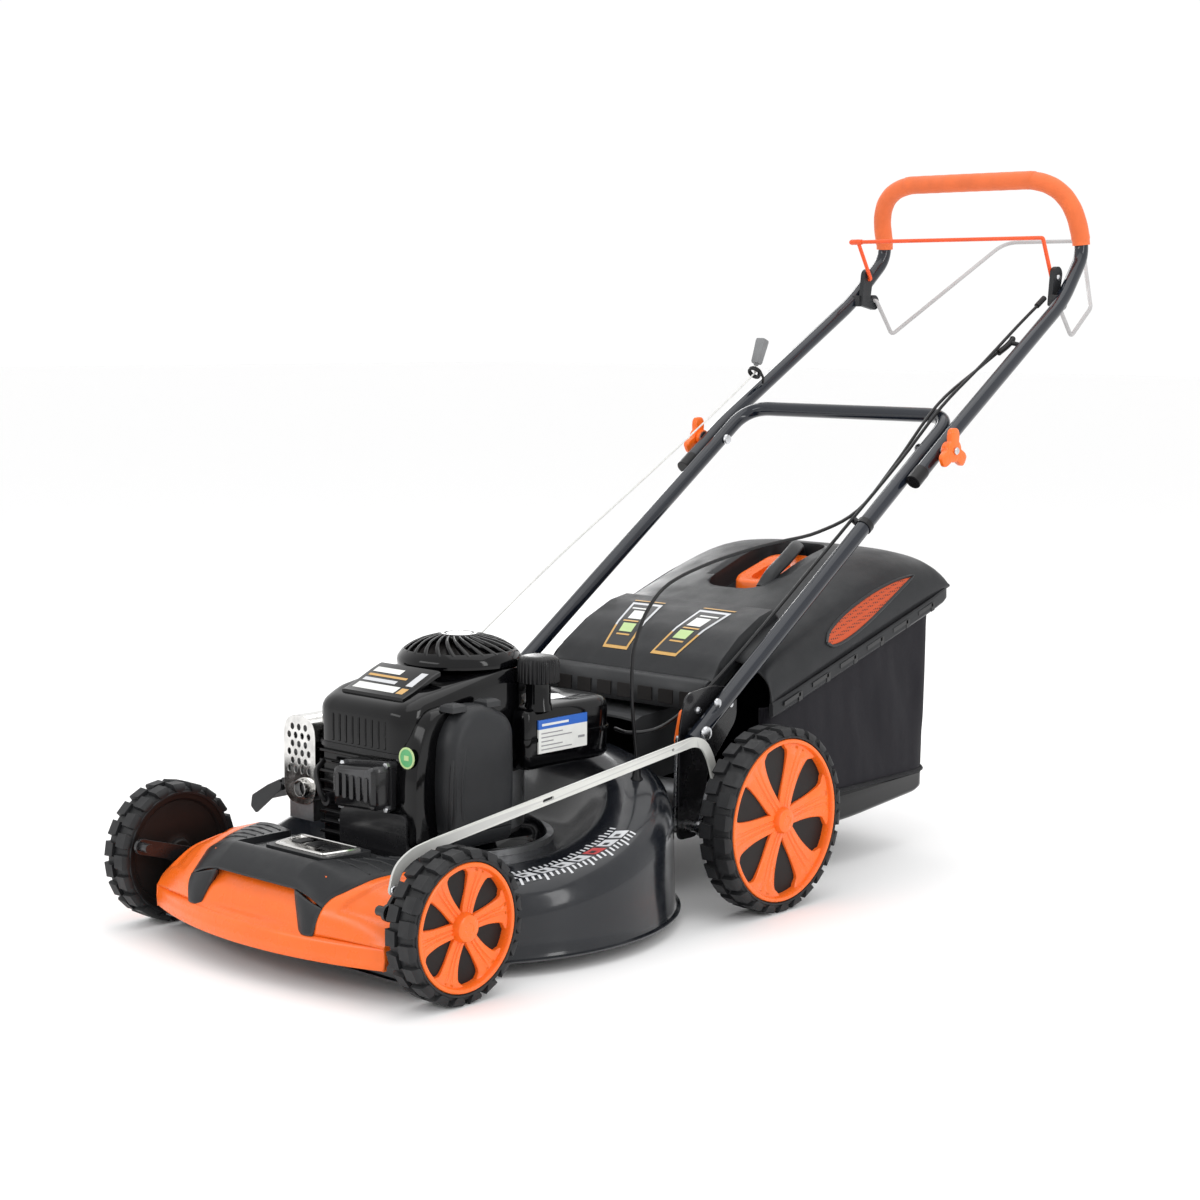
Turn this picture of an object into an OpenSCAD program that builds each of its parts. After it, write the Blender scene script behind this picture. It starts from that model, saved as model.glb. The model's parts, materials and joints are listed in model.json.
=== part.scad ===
/* [Wheels] */
// Radius of the front wheels over the tread
front_r = 90; // [86:1:94]
// Radius of the rear wheels over the tread
rear_r = 123; // [118:1:127]
// Width of the front tyres
front_tyre_w = 45; // [40:1:45]
// Width of the rear tyres
rear_tyre_w = 49; // [44:1:49]
// Distance between the front and rear wheel axes
wheelbase = 572; // [568:1:580]

/* [Deck] */
// Radius of the cutting chamber at the rim
deck_r = 281; // [276:1:283]
// Half the width of the deck between the front wheels
deck_half_w = 226; // [215:1:227]
// Height of the deck's top where the engine is bolted
deck_top_z = 106; // [104:1:107]
// Thickness of the deck's sheet steel
sheet_t = 2.5; // [2:0.1:3]

/* [Cutting] */
// Length of the blade from tip to tip
blade_len = 510; // [480:5:520]
// Length of the swinging wheel arms
arm_len = 71; // [69:0.5:71]

/* [Handle] */
// Outside diameter of the handle tubes
tube_d = 22; // [19:1:22]
// Height of the top of the grip
grip_z = 1000; // [985:5:1010]

/* [Hidden] */

orange = [1.0, 0.36, 0.08];
coated_orange = [0.95, 0.35, 0.15];
graphite = [0.16, 0.17, 0.19];
gloss_black = [0.05, 0.05, 0.06];
dark_plastic = [0.2, 0.21, 0.22];
tyre_grey = [0.15, 0.15, 0.16];
tube_blue = [0.13, 0.16, 0.22];
steel = [0.75, 0.76, 0.78];
cast = [0.55, 0.56, 0.58];
white_bar = [0.87, 0.87, 0.84];
cloth_black = [0.12, 0.11, 0.14];
grip_orange = [0.93, 0.45, 0.25];

// All parts are placed from a line on the ground under the front wheel axis
front_axle_y = -773;
gap = 0.3;
running = 0.05;

// Wheels and their swinging arms
front_wheel_x = 287 - front_tyre_w;
rear_wheel_x = 294 - rear_tyre_w;
front_disc_r = 0.84 * front_r;
rear_disc_r = 0.88 * rear_r;
stub_r = 6;
arm_rise = 12;
arm_reach = sqrt(arm_len * arm_len - arm_rise * arm_rise);
front_pivot = [-arm_reach, front_r - arm_rise];
rear_pivot = [wheelbase - arm_reach, rear_r - arm_rise];
lug = [18, 54];
front_pin = front_pivot + lug;
rear_pin = rear_pivot + lug;
link_x = 217;
link_t = 3;
link_w = 13;

// Deck
chamber_y = 262;
deck_front = -30;
rim_z = 18;
lip = 7;
shoulder = 42;
shoulder_low = 104;
shoulder_rise = 100;
deck_steps = 60;
deck_hole_r = 58;

// Engine
shaft_r = 12;
blower_r = 86;
blower_front = 90;
blower_z = 205;
blower_top = 338;
dome_r = 80;
dome_top = 374;
flywheel_r = 76;
pulley_z = 84;

// Rear discharge
chute_x = [-150, 52];
flap_pivot = [592, 262];
flap_half_w = 138;
plate_x = 178;
plate_t = 3;

// Handle
tube_r = tube_d / 2;
lower_x = 194;
upper_x = 216.5;
foot = [512, 236];
fold = [1020, 589];
crossbar = [1087, 636];
grip_y = 1412;
grip_end = [190, 1449, 893];
brake_pivot = [1386, 845];
drive_pivot = [1403, 810];
bail_x = 174;
bail_bend = 3.5;

// Bag
bag_front = 646;
bag_back = 1048;
bag_half_w = 200;
rim_front_z = 248;
rim_slope = 0.303;

function unit(v) = v / norm(v);
// A path's corner b, between a and c, as n + 1 points on a smooth curve that starts r before it
function corner(a, b, c, r, n) = let (u = unit(a - b), v = unit(c - b))
    [for (i = [0:n]) b + r * (pow(1 - i / n, 2) * u + pow(i / n, 2) * v)];
// The bend length r is one number, or a list with one for each point
function rounded(path, r, n = 4) = [path[0],
    for (i = [1:len(path) - 2]) each corner(path[i - 1], path[i], path[i + 1], is_list(r) ? r[i] : r, n),
    path[len(path) - 1]];
function tangent(p, i) = unit(p[min(i + 1, len(p) - 1)] - p[max(i - 1, 0)]);
function square_to(n, t) = unit(n - (n * t) * t);
function normals(p, n, i = 0) = i == len(p) ? []
    : let (m = square_to(n, tangent(p, i))) concat([m], normals(p, m, i + 1));
// Rings of points round a path: each ring is square to the path
function rings(p, r, sides, start) = let (n = normals(p, start))
    [for (i = [0:len(p) - 1]) let (b = cross(tangent(p, i), n[i]))
        [for (k = [0:sides - 1]) let (a = 360 * k / sides) p[i] + r * (cos(a) * n[i] + sin(a) * b)]];
function backwards(list) = [for (i = [len(list) - 1:-1:0]) list[i]];
function mirrored(path) = [for (i = [len(path) - 1:-1:0]) [-path[i][0], path[i][1], path[i][2]]];

// A closed solid through rings with equal numbers of points, capped or joined end to end
module skin(list, joined = false) {
    n = len(list);
    m = len(list[0]);
    last = joined ? n - 1 : n - 2;
    sides = [for (i = [0:last], k = [0:m - 1])
        let (a = i * m, b = ((i + 1) % n) * m, q = (k + 1) % m) each
            [[a + k, b + k, b + q], [a + k, b + q, a + q]]];
    caps = joined ? [] : [[for (k = [0:m - 1]) k], [for (k = [m - 1:-1:0]) (n - 1) * m + k]];
    polyhedron([for (r = list) each r], concat(sides, caps), convexity = 8);
}

module tube(path, r, sides = 12, start = [0, 0.6, 0.8]) skin(rings(path, r, sides, start));

module pipe(path, r_out, r_in, sides = 12, start = [0, 0.6, 0.8])
    skin(concat(rings(path, r_out, sides, start), backwards(rings(path, r_in, sides, start))), joined = true);

module from_front() translate([0, front_axle_y, 0]) children();
module both_sides() {
    children();
    mirror([1, 0, 0]) children();
}
// A side view outline, in y and z, made w thick from x towards +x
module side_plate(x, w) translate([x, 0, 0]) rotate([90, 0, 90]) linear_extrude(w) children();
// A cylinder along x through a side view point
module pin(x, p, len, r) translate([x, p[0], p[1]]) rotate([0, 90, 0]) cylinder(h = len, r = r, $fn = 40);
module block(low, high) translate(low) cube(high - low);
function left_of(d) = [-d[1], d[0]];
// Mitred edge of a strip at the path's inner point i, h to the left of it
function mitre(p, i, h) = let (a = left_of(unit(p[i] - p[i - 1])), b = left_of(unit(p[i + 1] - p[i])),
    m = unit(a + b)) p[i] + m * h / (m * a);
// Half circle round point c that turns from direction v the clockwise way
function round_end(c, v, h) = [for (i = [0:8]) let (a = atan2(v[1], v[0]) - 22.5 * i)
    c + h * [cos(a), sin(a)]];
// A strip of width w with round ends along side view points
module strip(p, w) {
    n = len(p) - 1;
    polygon([for (i = [1:1:n - 1]) mitre(p, i, w / 2),
        each round_end(p[n], left_of(p[n] - p[n - 1]), w / 2),
        for (i = [n - 1:-1:1]) mitre(p, i, -w / 2),
        each round_end(p[0], left_of(p[0] - p[1]), w / 2)]);
}

// ---- deck ----

// The shoulder rises towards the rear, where the grass is thrown out
function shoulder_z(a) = shoulder_low + shoulder_rise * pow((1 + sin(a)) / 2, 2.2);
// Plan radius of the rim: a circle joined to a narrower, square front
function rim_r(a) = sin(a) > -0.58 ? deck_r
    : max(deck_r, min((chamber_y - deck_front) / -sin(a), deck_half_w / max(abs(cos(a)), 0.001)));
function deck_profile(a) = let (r = rim_r(a), z = shoulder_z(a), m = deck_top_z, t = sheet_t)
    [[r + lip, rim_z], [r, rim_z + 5], [r - 3, z - shoulder],
        for (b = [25, 50, 75]) [r - 3 - shoulder * (1 - cos(b)), z - shoulder * (1 - sin(b))],
        [r - 60, z], [175, m + 0.62 * (z - m)], [150, m + 0.18 * (z - m)], [128, m], [deck_hole_r, m],
        [deck_hole_r, m - t], [128 + t, m - t], [150 + t, m + 0.18 * (z - m) - t],
        [175, m + 0.62 * (z - m) - t], [r - 60, z - t],
        for (b = [75, 50, 25]) [r - 3 - t - shoulder * (1 - cos(b)), z - t - shoulder * (1 - sin(b))],
        [r - 3 - t, z - shoulder], [r - t, rim_z + 5], [r + lip - t, rim_z]];

module deck() color(graphite) from_front() difference() {
    translate([0, chamber_y, 0]) skin([for (i = [deck_steps - 1:-1:0]) let (a = 360 * i / deck_steps)
        [for (p = deck_profile(a)) [p[0] * cos(a), p[0] * sin(a), p[1]]]], joined = true);
    block([chute_x[0] + 4, 480, 70], [chute_x[1] + 66, 600, 186]);
    block([-300, 195, 34], [-262, 320, 80]);
}

module bumper_side() polygon([[-101, 37], [-101, 62], [-96, 70], [-50, 122], [12, 136], [12, 132],
    [-46, 118], [-90, 68], [-96, 59], [-96, 37]]);
module bumper_plan() intersection() {
    translate([-212, -110]) square([424, 130]);
    translate([0, 480]) circle(581, $fn = 90);
}
module bumper() color(orange) from_front() difference() {
    union() {
        intersection() {
            side_plate(-215, 430) bumper_side();
            linear_extrude(200) bumper_plan();
        }
        both_sides() side_plate(205, 6) difference() {
            polygon([[-92, 56], [-90, 70], [-58, 108], [-46, 112], [-50, 60]]);
            translate(front_pivot) circle(stub_r + running, $fn = 40);
        }
    }
    block([-116, -92, 73.5], [116, 30, 150]);
}

module carry_trim() color(dark_plastic) from_front() {
    both_sides() side_plate(100.5, 14) polygon([[-86, 74], [-62, 132], [-48, 144], [30, 150],
        [30, 142.5], [-38, 124], [-80, 79]]);
    block([-101, -58, 126], [101, -42, 141]);
    block([-101, -6, 139], [101, 30, 146]);
}

module bracket_outline() polygon([[486, 92], [528, 92], [548, 180], [606, 240], [606, 282],
    [556, 292], [500, 286], [488, 240]]);
module handle_brackets() color(gloss_black) from_front() both_sides() difference() {
    side_plate(plate_x, plate_t) bracket_outline();
    pin(plate_x - 5, rear_pivot, 20, 7 + running);
    pin(plate_x - 5, flap_pivot, 20, 4 + gap);
    pin(plate_x - 5, foot, 20, 4 + gap);
}

module lower_handle() color(tube_blue) from_front() difference() {
    side = [[lower_x, foot[0] - 14, foot[1] - 9.7], [lower_x, crossbar[0], crossbar[1]]];
    tube(rounded(concat(side, mirrored(side)), 45), tube_r);
    pin(-lower_x - 30, foot, 2 * lower_x + 60, 4 + gap);
    pin(-lower_x - 30, fold, 2 * lower_x + 60, 4 + gap);
}

module handle_bolts() color(steel) from_front() both_sides() {
    pin(plate_x - 4, foot, lower_x + tube_r - plate_x + 5, 4);
    pin(lower_x + tube_r + gap, foot, 5, 8);
    pin(plate_x - 5, foot, 4.5, 7);
}

// ---- wheels ----

module tread(r, w, lugs, turn) linear_extrude(w) difference() {
    circle(r, $fn = 120);
    for (i = [0:lugs - 1]) rotate(turn + 360 * (i + 0.5) / lugs) translate([r + 1.5, 0]) circle(6, $fn = 24);
}
module tyre(x, r, w, disc, lugs) translate([x, 0, r]) rotate([0, 90, 0]) difference() {
    union() {
        tread(r, w * 0.4, lugs, 0);
        translate([0, 0, w * 0.4]) cylinder(h = w * 0.2, r = r - 5, $fn = 120);
        translate([0, 0, w * 0.6]) tread(r, w * 0.4, lugs, 180 / lugs);
    }
    translate([0, 0, -1]) cylinder(h = w + 2, r = disc, $fn = 120);
}
module wheel(x, r, w, disc, spokes) translate([x, 0, r]) rotate([0, 90, 0]) difference() {
    union() {
        rotate_extrude($fn = 120) polygon([[disc - 8, 2], [disc - gap, 2], [disc - gap, w - 2], [disc - 5, w],
            [disc - 8, w - 4]]);
        translate([0, 0, w - 16]) cylinder(h = 4, r = disc - 7, $fn = 120);
        cylinder(h = w - 6, r = 17, $fn = 60);
        cylinder(h = 3, r = disc - 7, $fn = 120);
    }
    translate([0, 0, -1]) cylinder(h = w - 8, r = stub_r + running, $fn = 60);
    for (i = [0:spokes - 1]) rotate(360 * (i + 0.5) / spokes) translate([0, 0, w - 20]) linear_extrude(10)
        polygon([[0.36 * disc, 0], [0.72 * disc, -0.2 * disc], [0.84 * disc, 0], [0.72 * disc, 0.2 * disc]]);
}
spokes = 6;
module front_tyre() color(tyre_grey) tyre(front_wheel_x, front_r, front_tyre_w, front_disc_r, 22);
module front_wheel() color(orange) wheel(front_wheel_x, front_r, front_tyre_w, front_disc_r, spokes);
module rear_tyre() color(tyre_grey) translate([0, wheelbase, 0])
    tyre(rear_wheel_x, rear_r, rear_tyre_w, rear_disc_r, 28);
module rear_wheel() color(orange) translate([0, wheelbase, 0])
    wheel(rear_wheel_x, rear_r, rear_tyre_w, rear_disc_r, spokes);
module front_left_tyre() from_front() front_tyre();
module front_left_wheel() from_front() front_wheel();
module front_right_tyre() from_front() mirror([1, 0, 0]) front_tyre();
module front_right_wheel() from_front() mirror([1, 0, 0]) front_wheel();
module rear_left_tyre() from_front() rear_tyre();
module rear_left_wheel() from_front() rear_wheel();
module rear_right_tyre() from_front() mirror([1, 0, 0]) rear_tyre();
module rear_right_wheel() from_front() mirror([1, 0, 0]) rear_wheel();

module front_axle() color(steel) from_front() {
    pin(-228, front_pivot, 456, stub_r);
    both_sides() side_plate(228, 5) strip([front_pivot, [0, front_r]], 20);
    both_sides() pin(232, [0, front_r], front_tyre_w, stub_r);
    side_plate(228, 5) strip([front_pivot, front_pin], 14);
    pin(link_x - 2, front_pin, 14, 3);
}

module rear_axle() color(steel) from_front() {
    pin(-206, [wheelbase, rear_r], 412, 8);
    both_sides() side_plate(206, 5) strip([rear_pivot, [wheelbase, rear_r]], 22);
    both_sides() pin(210, [wheelbase, rear_r], rear_wheel_x + rear_tyre_w - 220, stub_r);
    both_sides() pin(166, rear_pivot, 42, 7);
    side_plate(206, 5) strip([rear_pivot, rear_pin], 14);
    pin(208, rear_pin, link_x + link_t - 206, 3);
}

module gearbox() color(cast) from_front() difference() {
    union() {
        pin(64, [wheelbase + 6, rear_r], 66, 26);
        translate([97, wheelbase + 28, rear_r - 26]) cylinder(h = 40, r = 17, $fn = 48);
    }
    pin(60, [wheelbase, rear_r], 80, 8 + gap);
    translate([97, wheelbase + 28, rear_r - 30]) cylinder(h = 36, r = 5 + running, $fn = 40);
}
gear_pulley_at = [97, wheelbase + 28];
module gearbox_pulley() color(steel) from_front() translate([gear_pulley_at[0], gear_pulley_at[1], 0]) {
    translate([0, 0, pulley_z - 6]) cylinder(h = 11, r = 24, $fn = 60);
    translate([0, 0, pulley_z]) cylinder(h = rear_r - 2 - pulley_z, r = 5, $fn = 40);
}

module height_lever() color(orange) from_front() {
    side_plate(166, 5) difference() {
        strip([rear_pivot, rear_pivot + [4, 110]], 22);
        translate(rear_pivot) circle(7 + running, $fn = 40);
    }
    side_plate(161, 11) strip([rear_pivot + [4, 118], rear_pivot + [12, 144]], 18);
}

module link_bar() color(white_bar) from_front() difference() {
    side_plate(link_x, link_t) strip([front_pin, front_pin + [6, 22], front_pin + [28, 36],
        front_pin + [60, 42], [472, 232], [492, 226], [506, 206], rear_pin], link_w);
    for (p = [front_pin, rear_pin]) pin(link_x - 2, p, 8, 3 + gap);
}

// ---- cutting and drive ----

module on_shaft() translate([0, front_axle_y + chamber_y, 0]) children();
module crankshaft() color(cast) on_shaft() {
    translate([0, 0, 44]) cylinder(h = 268, r = shaft_r, $fn = 60);
}
module flywheel() color(cast) on_shaft() translate([0, 0, 270]) difference() {
    union() {
        cylinder(h = 10, r = flywheel_r, $fn = 120);
        cylinder(h = 26, r = 26, $fn = 60);
        for (a = [0:30:330]) rotate(a) translate([34, -2, 9]) cube([flywheel_r - 38, 4, 20]);
    }
    translate([0, 0, -1]) cylinder(h = 40, r = shaft_r + 0.01, $fn = 60);
}
module crank_pulley() color(steel) on_shaft() translate([0, 0, pulley_z - 6]) difference() {
    cylinder(h = 11, r = 27, $fn = 60);
    translate([0, 0, -1]) cylinder(h = 20, r = shaft_r + 0.01, $fn = 60);
}
module blade() color(steel) on_shaft() difference() {
    union() {
        translate([-blade_len / 2 + 20, -27, 38]) cube([blade_len - 40, 54, 4]);
        for (s = [0, 180]) rotate(s) translate([blade_len / 2 - 75, 8, 41]) rotate([28, 0, 0])
            cube([70, 22, 3]);
    }
    translate([0, 0, 30]) cylinder(h = 30, r = 5 + gap, $fn = 40);
}
module blade_bolt() color(steel) on_shaft() {
    translate([0, 0, 28]) cylinder(h = 10, r = 9, $fn = 6);
    translate([0, 0, 38]) cylinder(h = 6, r = 5, $fn = 40);
}
module belt_plan(extra) hull() {
    translate([0, chamber_y]) circle(27 + extra, $fn = 60);
    translate(gear_pulley_at) circle(24 + extra, $fn = 60);
}
module drive_belt() color(tyre_grey) from_front() translate([0, 0, pulley_z - 3]) linear_extrude(5)
    difference() {
        belt_plan(6);
        belt_plan(gap);
    }

// ---- engine ----

module engine_block() color(cast) on_shaft() difference() {
    union() {
        translate([0, 0, deck_top_z + 0.1]) cylinder(h = 8, r = 122, $fn = 120);
        translate([0, 0, deck_top_z + 8]) cylinder(h = 88, r = 84, $fn = 90);
        block([-40, -166, 140], [60, -60, 200]);
        for (z = [146:9:192]) block([-46, -166, z], [66, -90, z + 3]);
    }
    translate([0, 0, 90]) cylinder(h = 130, r = shaft_r + running, $fn = 60);
}
module rocker_cover() color(gloss_black) from_front() block([-15, 58, 148], [85, 95.9, 204]);
module spark_plug() color("white") from_front() translate([-29, 95.9, 182]) rotate([90, 0, 0]) {
    cylinder(h = 30, r = 6, $fn = 40);
    cylinder(h = 9, r = 9, $fn = 6);
}
module carburettor() color(cast) from_front() {
    block([66.2, 118, 150], [87.8, 158, 190]);
}
module air_filter_base() color(gloss_black) from_front() difference() {
    block([88, 102, 128], [94, 238, 202]);
    pin(80, [138, 170], 30, 12);
}
module air_filter_element() color("khaki") from_front() block([98, 118, 136], [124, 222, 196]);
module air_filter_cover() color(dark_plastic) from_front() difference() {
    block([94.3, 98, 126], [133, 240, 282]);
    block([90, 104, 132], [128, 234, 276]);
}
module blower_plan() {
    circle(blower_r, $fn = 120);
    translate([-blower_r, blower_front - chamber_y]) square([2 * blower_r, chamber_y - blower_front]);
}
module blower_housing() color(gloss_black) on_shaft() difference() {
    translate([0, 0, blower_z]) linear_extrude(blower_top - blower_z) blower_plan();
    translate([0, 0, blower_z - 1]) linear_extrude(blower_top - blower_z - 3) difference() {
        circle(blower_r - 4, $fn = 120);
        translate([-100, -200]) square([200, 110]);
    }
    block([-blower_r + 4, blower_front - chamber_y + 4, blower_z - 1], [blower_r - 4, 0, 270]);
    translate([0, 0, blower_z]) cylinder(h = 200, r = 60, $fn = 90);
    translate([0, blower_front - chamber_y - 20, 268]) rotate([18, 0, 0])
        block([-100, -60, 30], [100, 140, 120]);
    translate([neck[0], neck[1] - chamber_y, 305]) cylinder(h = 60, r = cap_r + 0.8, $fn = 60);
}
module starter_cover() color(gloss_black) on_shaft() translate([0, 0, blower_top]) difference() {
    rotate_extrude($fn = 120) polygon([[74, 0], [dome_r, 0], [dome_r, 6], [dome_r - 8, 18], [dome_r - 28, 30],
        [20, dome_top - blower_top], [0, dome_top - blower_top], [0, 33], [20, 33], [50, 27], [70, 15],
        [74, 5]]);
    for (a = [0:20:340]) rotate(a) translate([34, 0, 8]) rotate(28) translate([0, -2.5, 0]) cube([30, 5, 30]);
}
module starter_pulley() color(dark_plastic) on_shaft() translate([0, 0, 342])
    cylinder(h = 14, r = 32, $fn = 60);
module muffler() color(cast) from_front() block([-140, 96, 138], [-94, 158, 238]);
module muffler_guard() color(steel) from_front() difference() {
    block([-147, 84, 132], [-88, 150, 246]);
    block([-144, 87, 130], [-91, 160, 243]);
    for (i = [0:3], j = [0:4]) translate([-136 + 12 * i, 80, 168 + 15 * j]) rotate([-90, 0, 0])
        cylinder(h = 10, r = 4.4, $fn = 24);
    translate([-104, 80, 154]) rotate([-90, 0, 0]) cylinder(h = 10, r = 9, $fn = 40);
}
tank_low = 205;
neck = [100, 305];
cap_r = 24;
module fuel_tank() color(gloss_black) from_front() difference() {
    union() {
        block([-70, 270, tank_low], [112, 440, 284]);
        translate([neck[0], neck[1], 280]) cylinder(h = 48, r = 15, $fn = 60);
    }
    translate([0, chamber_y, tank_low - 1]) cylinder(h = 200, r = blower_r + 1, $fn = 120);
    translate([neck[0], neck[1], 290]) cylinder(h = 50, r = 11, $fn = 60);
}
module fuel_cap() color(dark_plastic) from_front() translate([neck[0], neck[1], 0]) difference() {
    translate([0, 0, 316]) cylinder(h = 32, r = cap_r, $fn = 60);
    translate([0, 0, 315]) cylinder(h = 13.3, r = 15 + gap, $fn = 60);
}

// ---- rear discharge ----

module rear_chute() color(dark_plastic) from_front() difference() {
    side_plate(chute_x[0], chute_x[1] - chute_x[0])
        polygon([[500, 102], [560, 140], [638, 146], [638, 239], [560, 234], [500, 214]]);
    side_plate(chute_x[0] + 3, chute_x[1] - chute_x[0] - 6)
        polygon([[480, 92], [561, 143], [650, 149], [650, 236], [560, 231], [480, 203]]);
    translate([0, chamber_y, 0]) cylinder(h = 300, r = deck_r + lip + 1, $fn = 120);
}
module flap_rod() color(steel) from_front() pin(-plate_x - 5, flap_pivot, 2 * plate_x + 10, 4);
module flap_outline() polygon([[579, 246], [581, 290], [676, 387], [752, 372], [751, 369], [677, 383],
    [584, 288], [582, 246]]);
module rear_flap() color(dark_plastic) from_front() difference() {
    union() {
        side_plate(-flap_half_w, 2 * flap_half_w) flap_outline();
        both_sides() side_plate(flap_half_w - 3, 3) polygon([[579, 246], [581, 290], [676, 387], [752, 372],
            [748, 362], [674, 374], [600, 296], [604, 250]]);
        both_sides() side_plate(flap_half_w - 12, 12) difference() {
            translate(flap_pivot) circle(9, $fn = 40);
            translate(flap_pivot) circle(4 + running, $fn = 40);
        }
    }
    both_sides() pin(flap_half_w - 20, flap_pivot, 30, 4 + running);
}
deflector_pivot = [-228, 162];
module deflector_outline() polygon([[-231, 160], [-231, 165], [-296, 134], [-300, 124], [-297, 124],
    [-293, 131]]);
module side_deflector() color(dark_plastic) from_front() {
    translate([0, 325, 0]) rotate([90, 0, 0]) linear_extrude(170) deflector_outline();
    for (y = [158, 325]) translate([0, y, 0]) rotate([90, 0, 0]) linear_extrude(3)
        polygon([[-234, 150], [-231, 165], [-296, 134], [-300, 118], [-290, 108]]);
    translate([deflector_pivot[0], 155, deflector_pivot[1]]) rotate([-90, 0, 0])
        cylinder(h = 170, r = 5, $fn = 40);
}

// ---- grass bag ----

function rim_z_at(y) = rim_front_z + rim_slope * (y - bag_front);
// Height of the lid's crown, and the half width at which it starts to fall
function crown_z(y) = y < 760 ? 300 + 0.56 * (y - bag_front) : y < 900 ? 364 + 78 * sin((y - 760) * 90 / 140)
    : 442 - 62 * pow((y - 900) / 172, 3);
function lid_ring(y, inset) = let (w = bag_half_w + 10 - inset, low = rim_z_at(y) + 8,
        rise = max(crown_z(y) - low, 12) - inset)
    [for (i = [0:18]) let (a = 180 * i / 18, c = i == 9 ? 0 : cos(a))
        [w * sign(c) * pow(abs(c), 0.62), y, low + rise * pow(max(sin(a), 0), 0.7)]];
module bag_lid() color(dark_plastic) from_front() difference() {
    skin([for (y = [648, 680, 720, 760, 800, 840, 880, 920, 960, 1000, 1030, 1055, 1072])
        concat(lid_ring(y, 0), backwards(lid_ring(y, 4)))]);
    block([-48, 850, 380], [48, 1000, 480]);
}
module bag_insert() color(orange) from_front() {
    block([-44, 856, 372], [44, 994, 376]);
}
module bag_side() polygon([[bag_front, 112], [bag_front, rim_z_at(bag_front) + 4], [bag_back, rim_z_at(bag_back) + 4],
    [bag_back, 112]]);
module bag_fabric() color(cloth_black) from_front() difference() {
    side_plate(-bag_half_w, 2 * bag_half_w) bag_side();
    block([-bag_half_w + 4, bag_front + 4, 50], [bag_half_w - 4, bag_back - 4, 500]);
    block([-160, bag_front - 5, 130], [160, bag_front + 10, 300]);
}
module bag_tray() color(gloss_black) from_front() difference() {
    side_plate(-bag_half_w, 2 * bag_half_w) polygon([[bag_front, 111.5], [700, 72], [817, 62], [1026, 80],
        [bag_back, 96], [bag_back, 111.5]]);
    side_plate(-bag_half_w + 4, 2 * bag_half_w - 8) polygon([[bag_front + 9, 113], [702, 77], [817, 67], [1024, 85],
        [bag_back - 4, 98], [bag_back - 4, 113]]);
}

// ---- handle and controls ----

upper_side = [[upper_x, 958, 546], [upper_x, 1056, 614], [202, 1372, 806], [190, 1453, 885],
    [186, grip_y, grip_z]];
upper_bends = [0, 34, 34, 30, 86];
upper_path = rounded(concat(upper_side, mirrored(upper_side)), concat(upper_bends, backwards(upper_bends)), 6);
module upper_handle() color(tube_blue) from_front() difference() {
    tube(upper_path, tube_r);
    pin(-upper_x - 30, fold, 2 * upper_x + 60, 4 + gap);
}
grip_path = [for (p = upper_path) if (p[2] > grip_end[2]) p];
module foam_grip() color(grip_orange) from_front() pipe(grip_path, tube_r + 4, tube_r + 0.4);
module bail_brackets() color(dark_plastic) from_front() both_sides() difference() {
    side_plate(178, 8) strip([brake_pivot + [0, 4], [1378, 806], drive_pivot + [2, -2]], 24);
    pin(170, brake_pivot, 20, 3 + running);
    pin(170, drive_pivot, 20, 2.5 + running);
}
module rope_guide() color(dark_plastic) from_front() translate([-206, 1118, 692]) rotate([-45, 0, 0]) {
    difference() {
        cylinder(h = 6, r = 12, center = true, $fn = 40);
        cylinder(h = 8, r = 7, center = true, $fn = 40);
    }
    block([-3, 8, -3], [3, 24, 3]);
}
module knob() color(orange) from_front() {
    pin(lower_x - tube_r - 5, fold, 4, 8);
    pin(lower_x - tube_r - 2, fold, 54, 4);
    pin(upper_x + tube_r + 1, fold, 20, 13);
    side_plate(upper_x + tube_r + 8, 9) strip([fold - [22, 8], fold, fold + [22, -8]], 14);
}
module left_knob() knob();
module right_knob() mirror([1, 0, 0]) knob();
module engine_brake_bail() color(coated_orange) from_front() {
    tube(rounded([[185, brake_pivot[0], brake_pivot[1]], [bail_x, brake_pivot[0], brake_pivot[1]],
        [bail_x + 3, 1352, 906], [-bail_x - 3, 1352, 906],
        [-bail_x, brake_pivot[0], brake_pivot[1]], [-185, brake_pivot[0], brake_pivot[1]]], bail_bend, 3),
        3, 8, [0.1, 0.6, 0.8]);
    pin(-193, [1352, 906], 24, 4);
}
module drive_bail() color(steel) from_front()
    tube(rounded([[185, drive_pivot[0], drive_pivot[1]], [bail_x, drive_pivot[0], drive_pivot[1]],
        [bail_x, 1450, 753], [176, 1505, 799], [76, 1641, 912], [-76, 1641, 912], [-bail_x, 1450, 753],
        [-bail_x, drive_pivot[0], drive_pivot[1]], [-185, drive_pivot[0], drive_pivot[1]]], bail_bend, 3),
        2.5, 8, [0.1, 0.6, 0.8]);

brake_route = [[184, 1340, 806], [182, 1280, 770], [182, 1180, 710], [180, 1080, 650], [178, 980, 574],
    [176, 870, 497], [174, 760, 421], [172, 680, 365], [166, 610, 314], [158, 548, 270], [148, 488, 240],
    [132, 446, 236], [104, 446, 238]];
drive_route = [[184, 1250, 742], [176, 1180, 704], [172, 1080, 652], [170, 980, 570], [170, 889, 506],
    [168, 797, 480], [166, 715, 472], [165, 650, 466], [164, 559, 452], [162, 485, 432], [160, 447, 402],
    [158, 425, 362], [156, 421, 329], [154, 424, 277], [150, 437, 214], [150, 440, 186]];
rope_route = [[-30, 326, 360], [-72, 520, 446], [-118, 740, 536], [-162, 940, 618], [-203, 1108, 687],
    [-206, 1118, 694], [-206, 1122, 704]];
module brake_cable() color(gloss_black) from_front() tube(brake_route, 2.5, 8, [1, 0, 0]);
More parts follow.
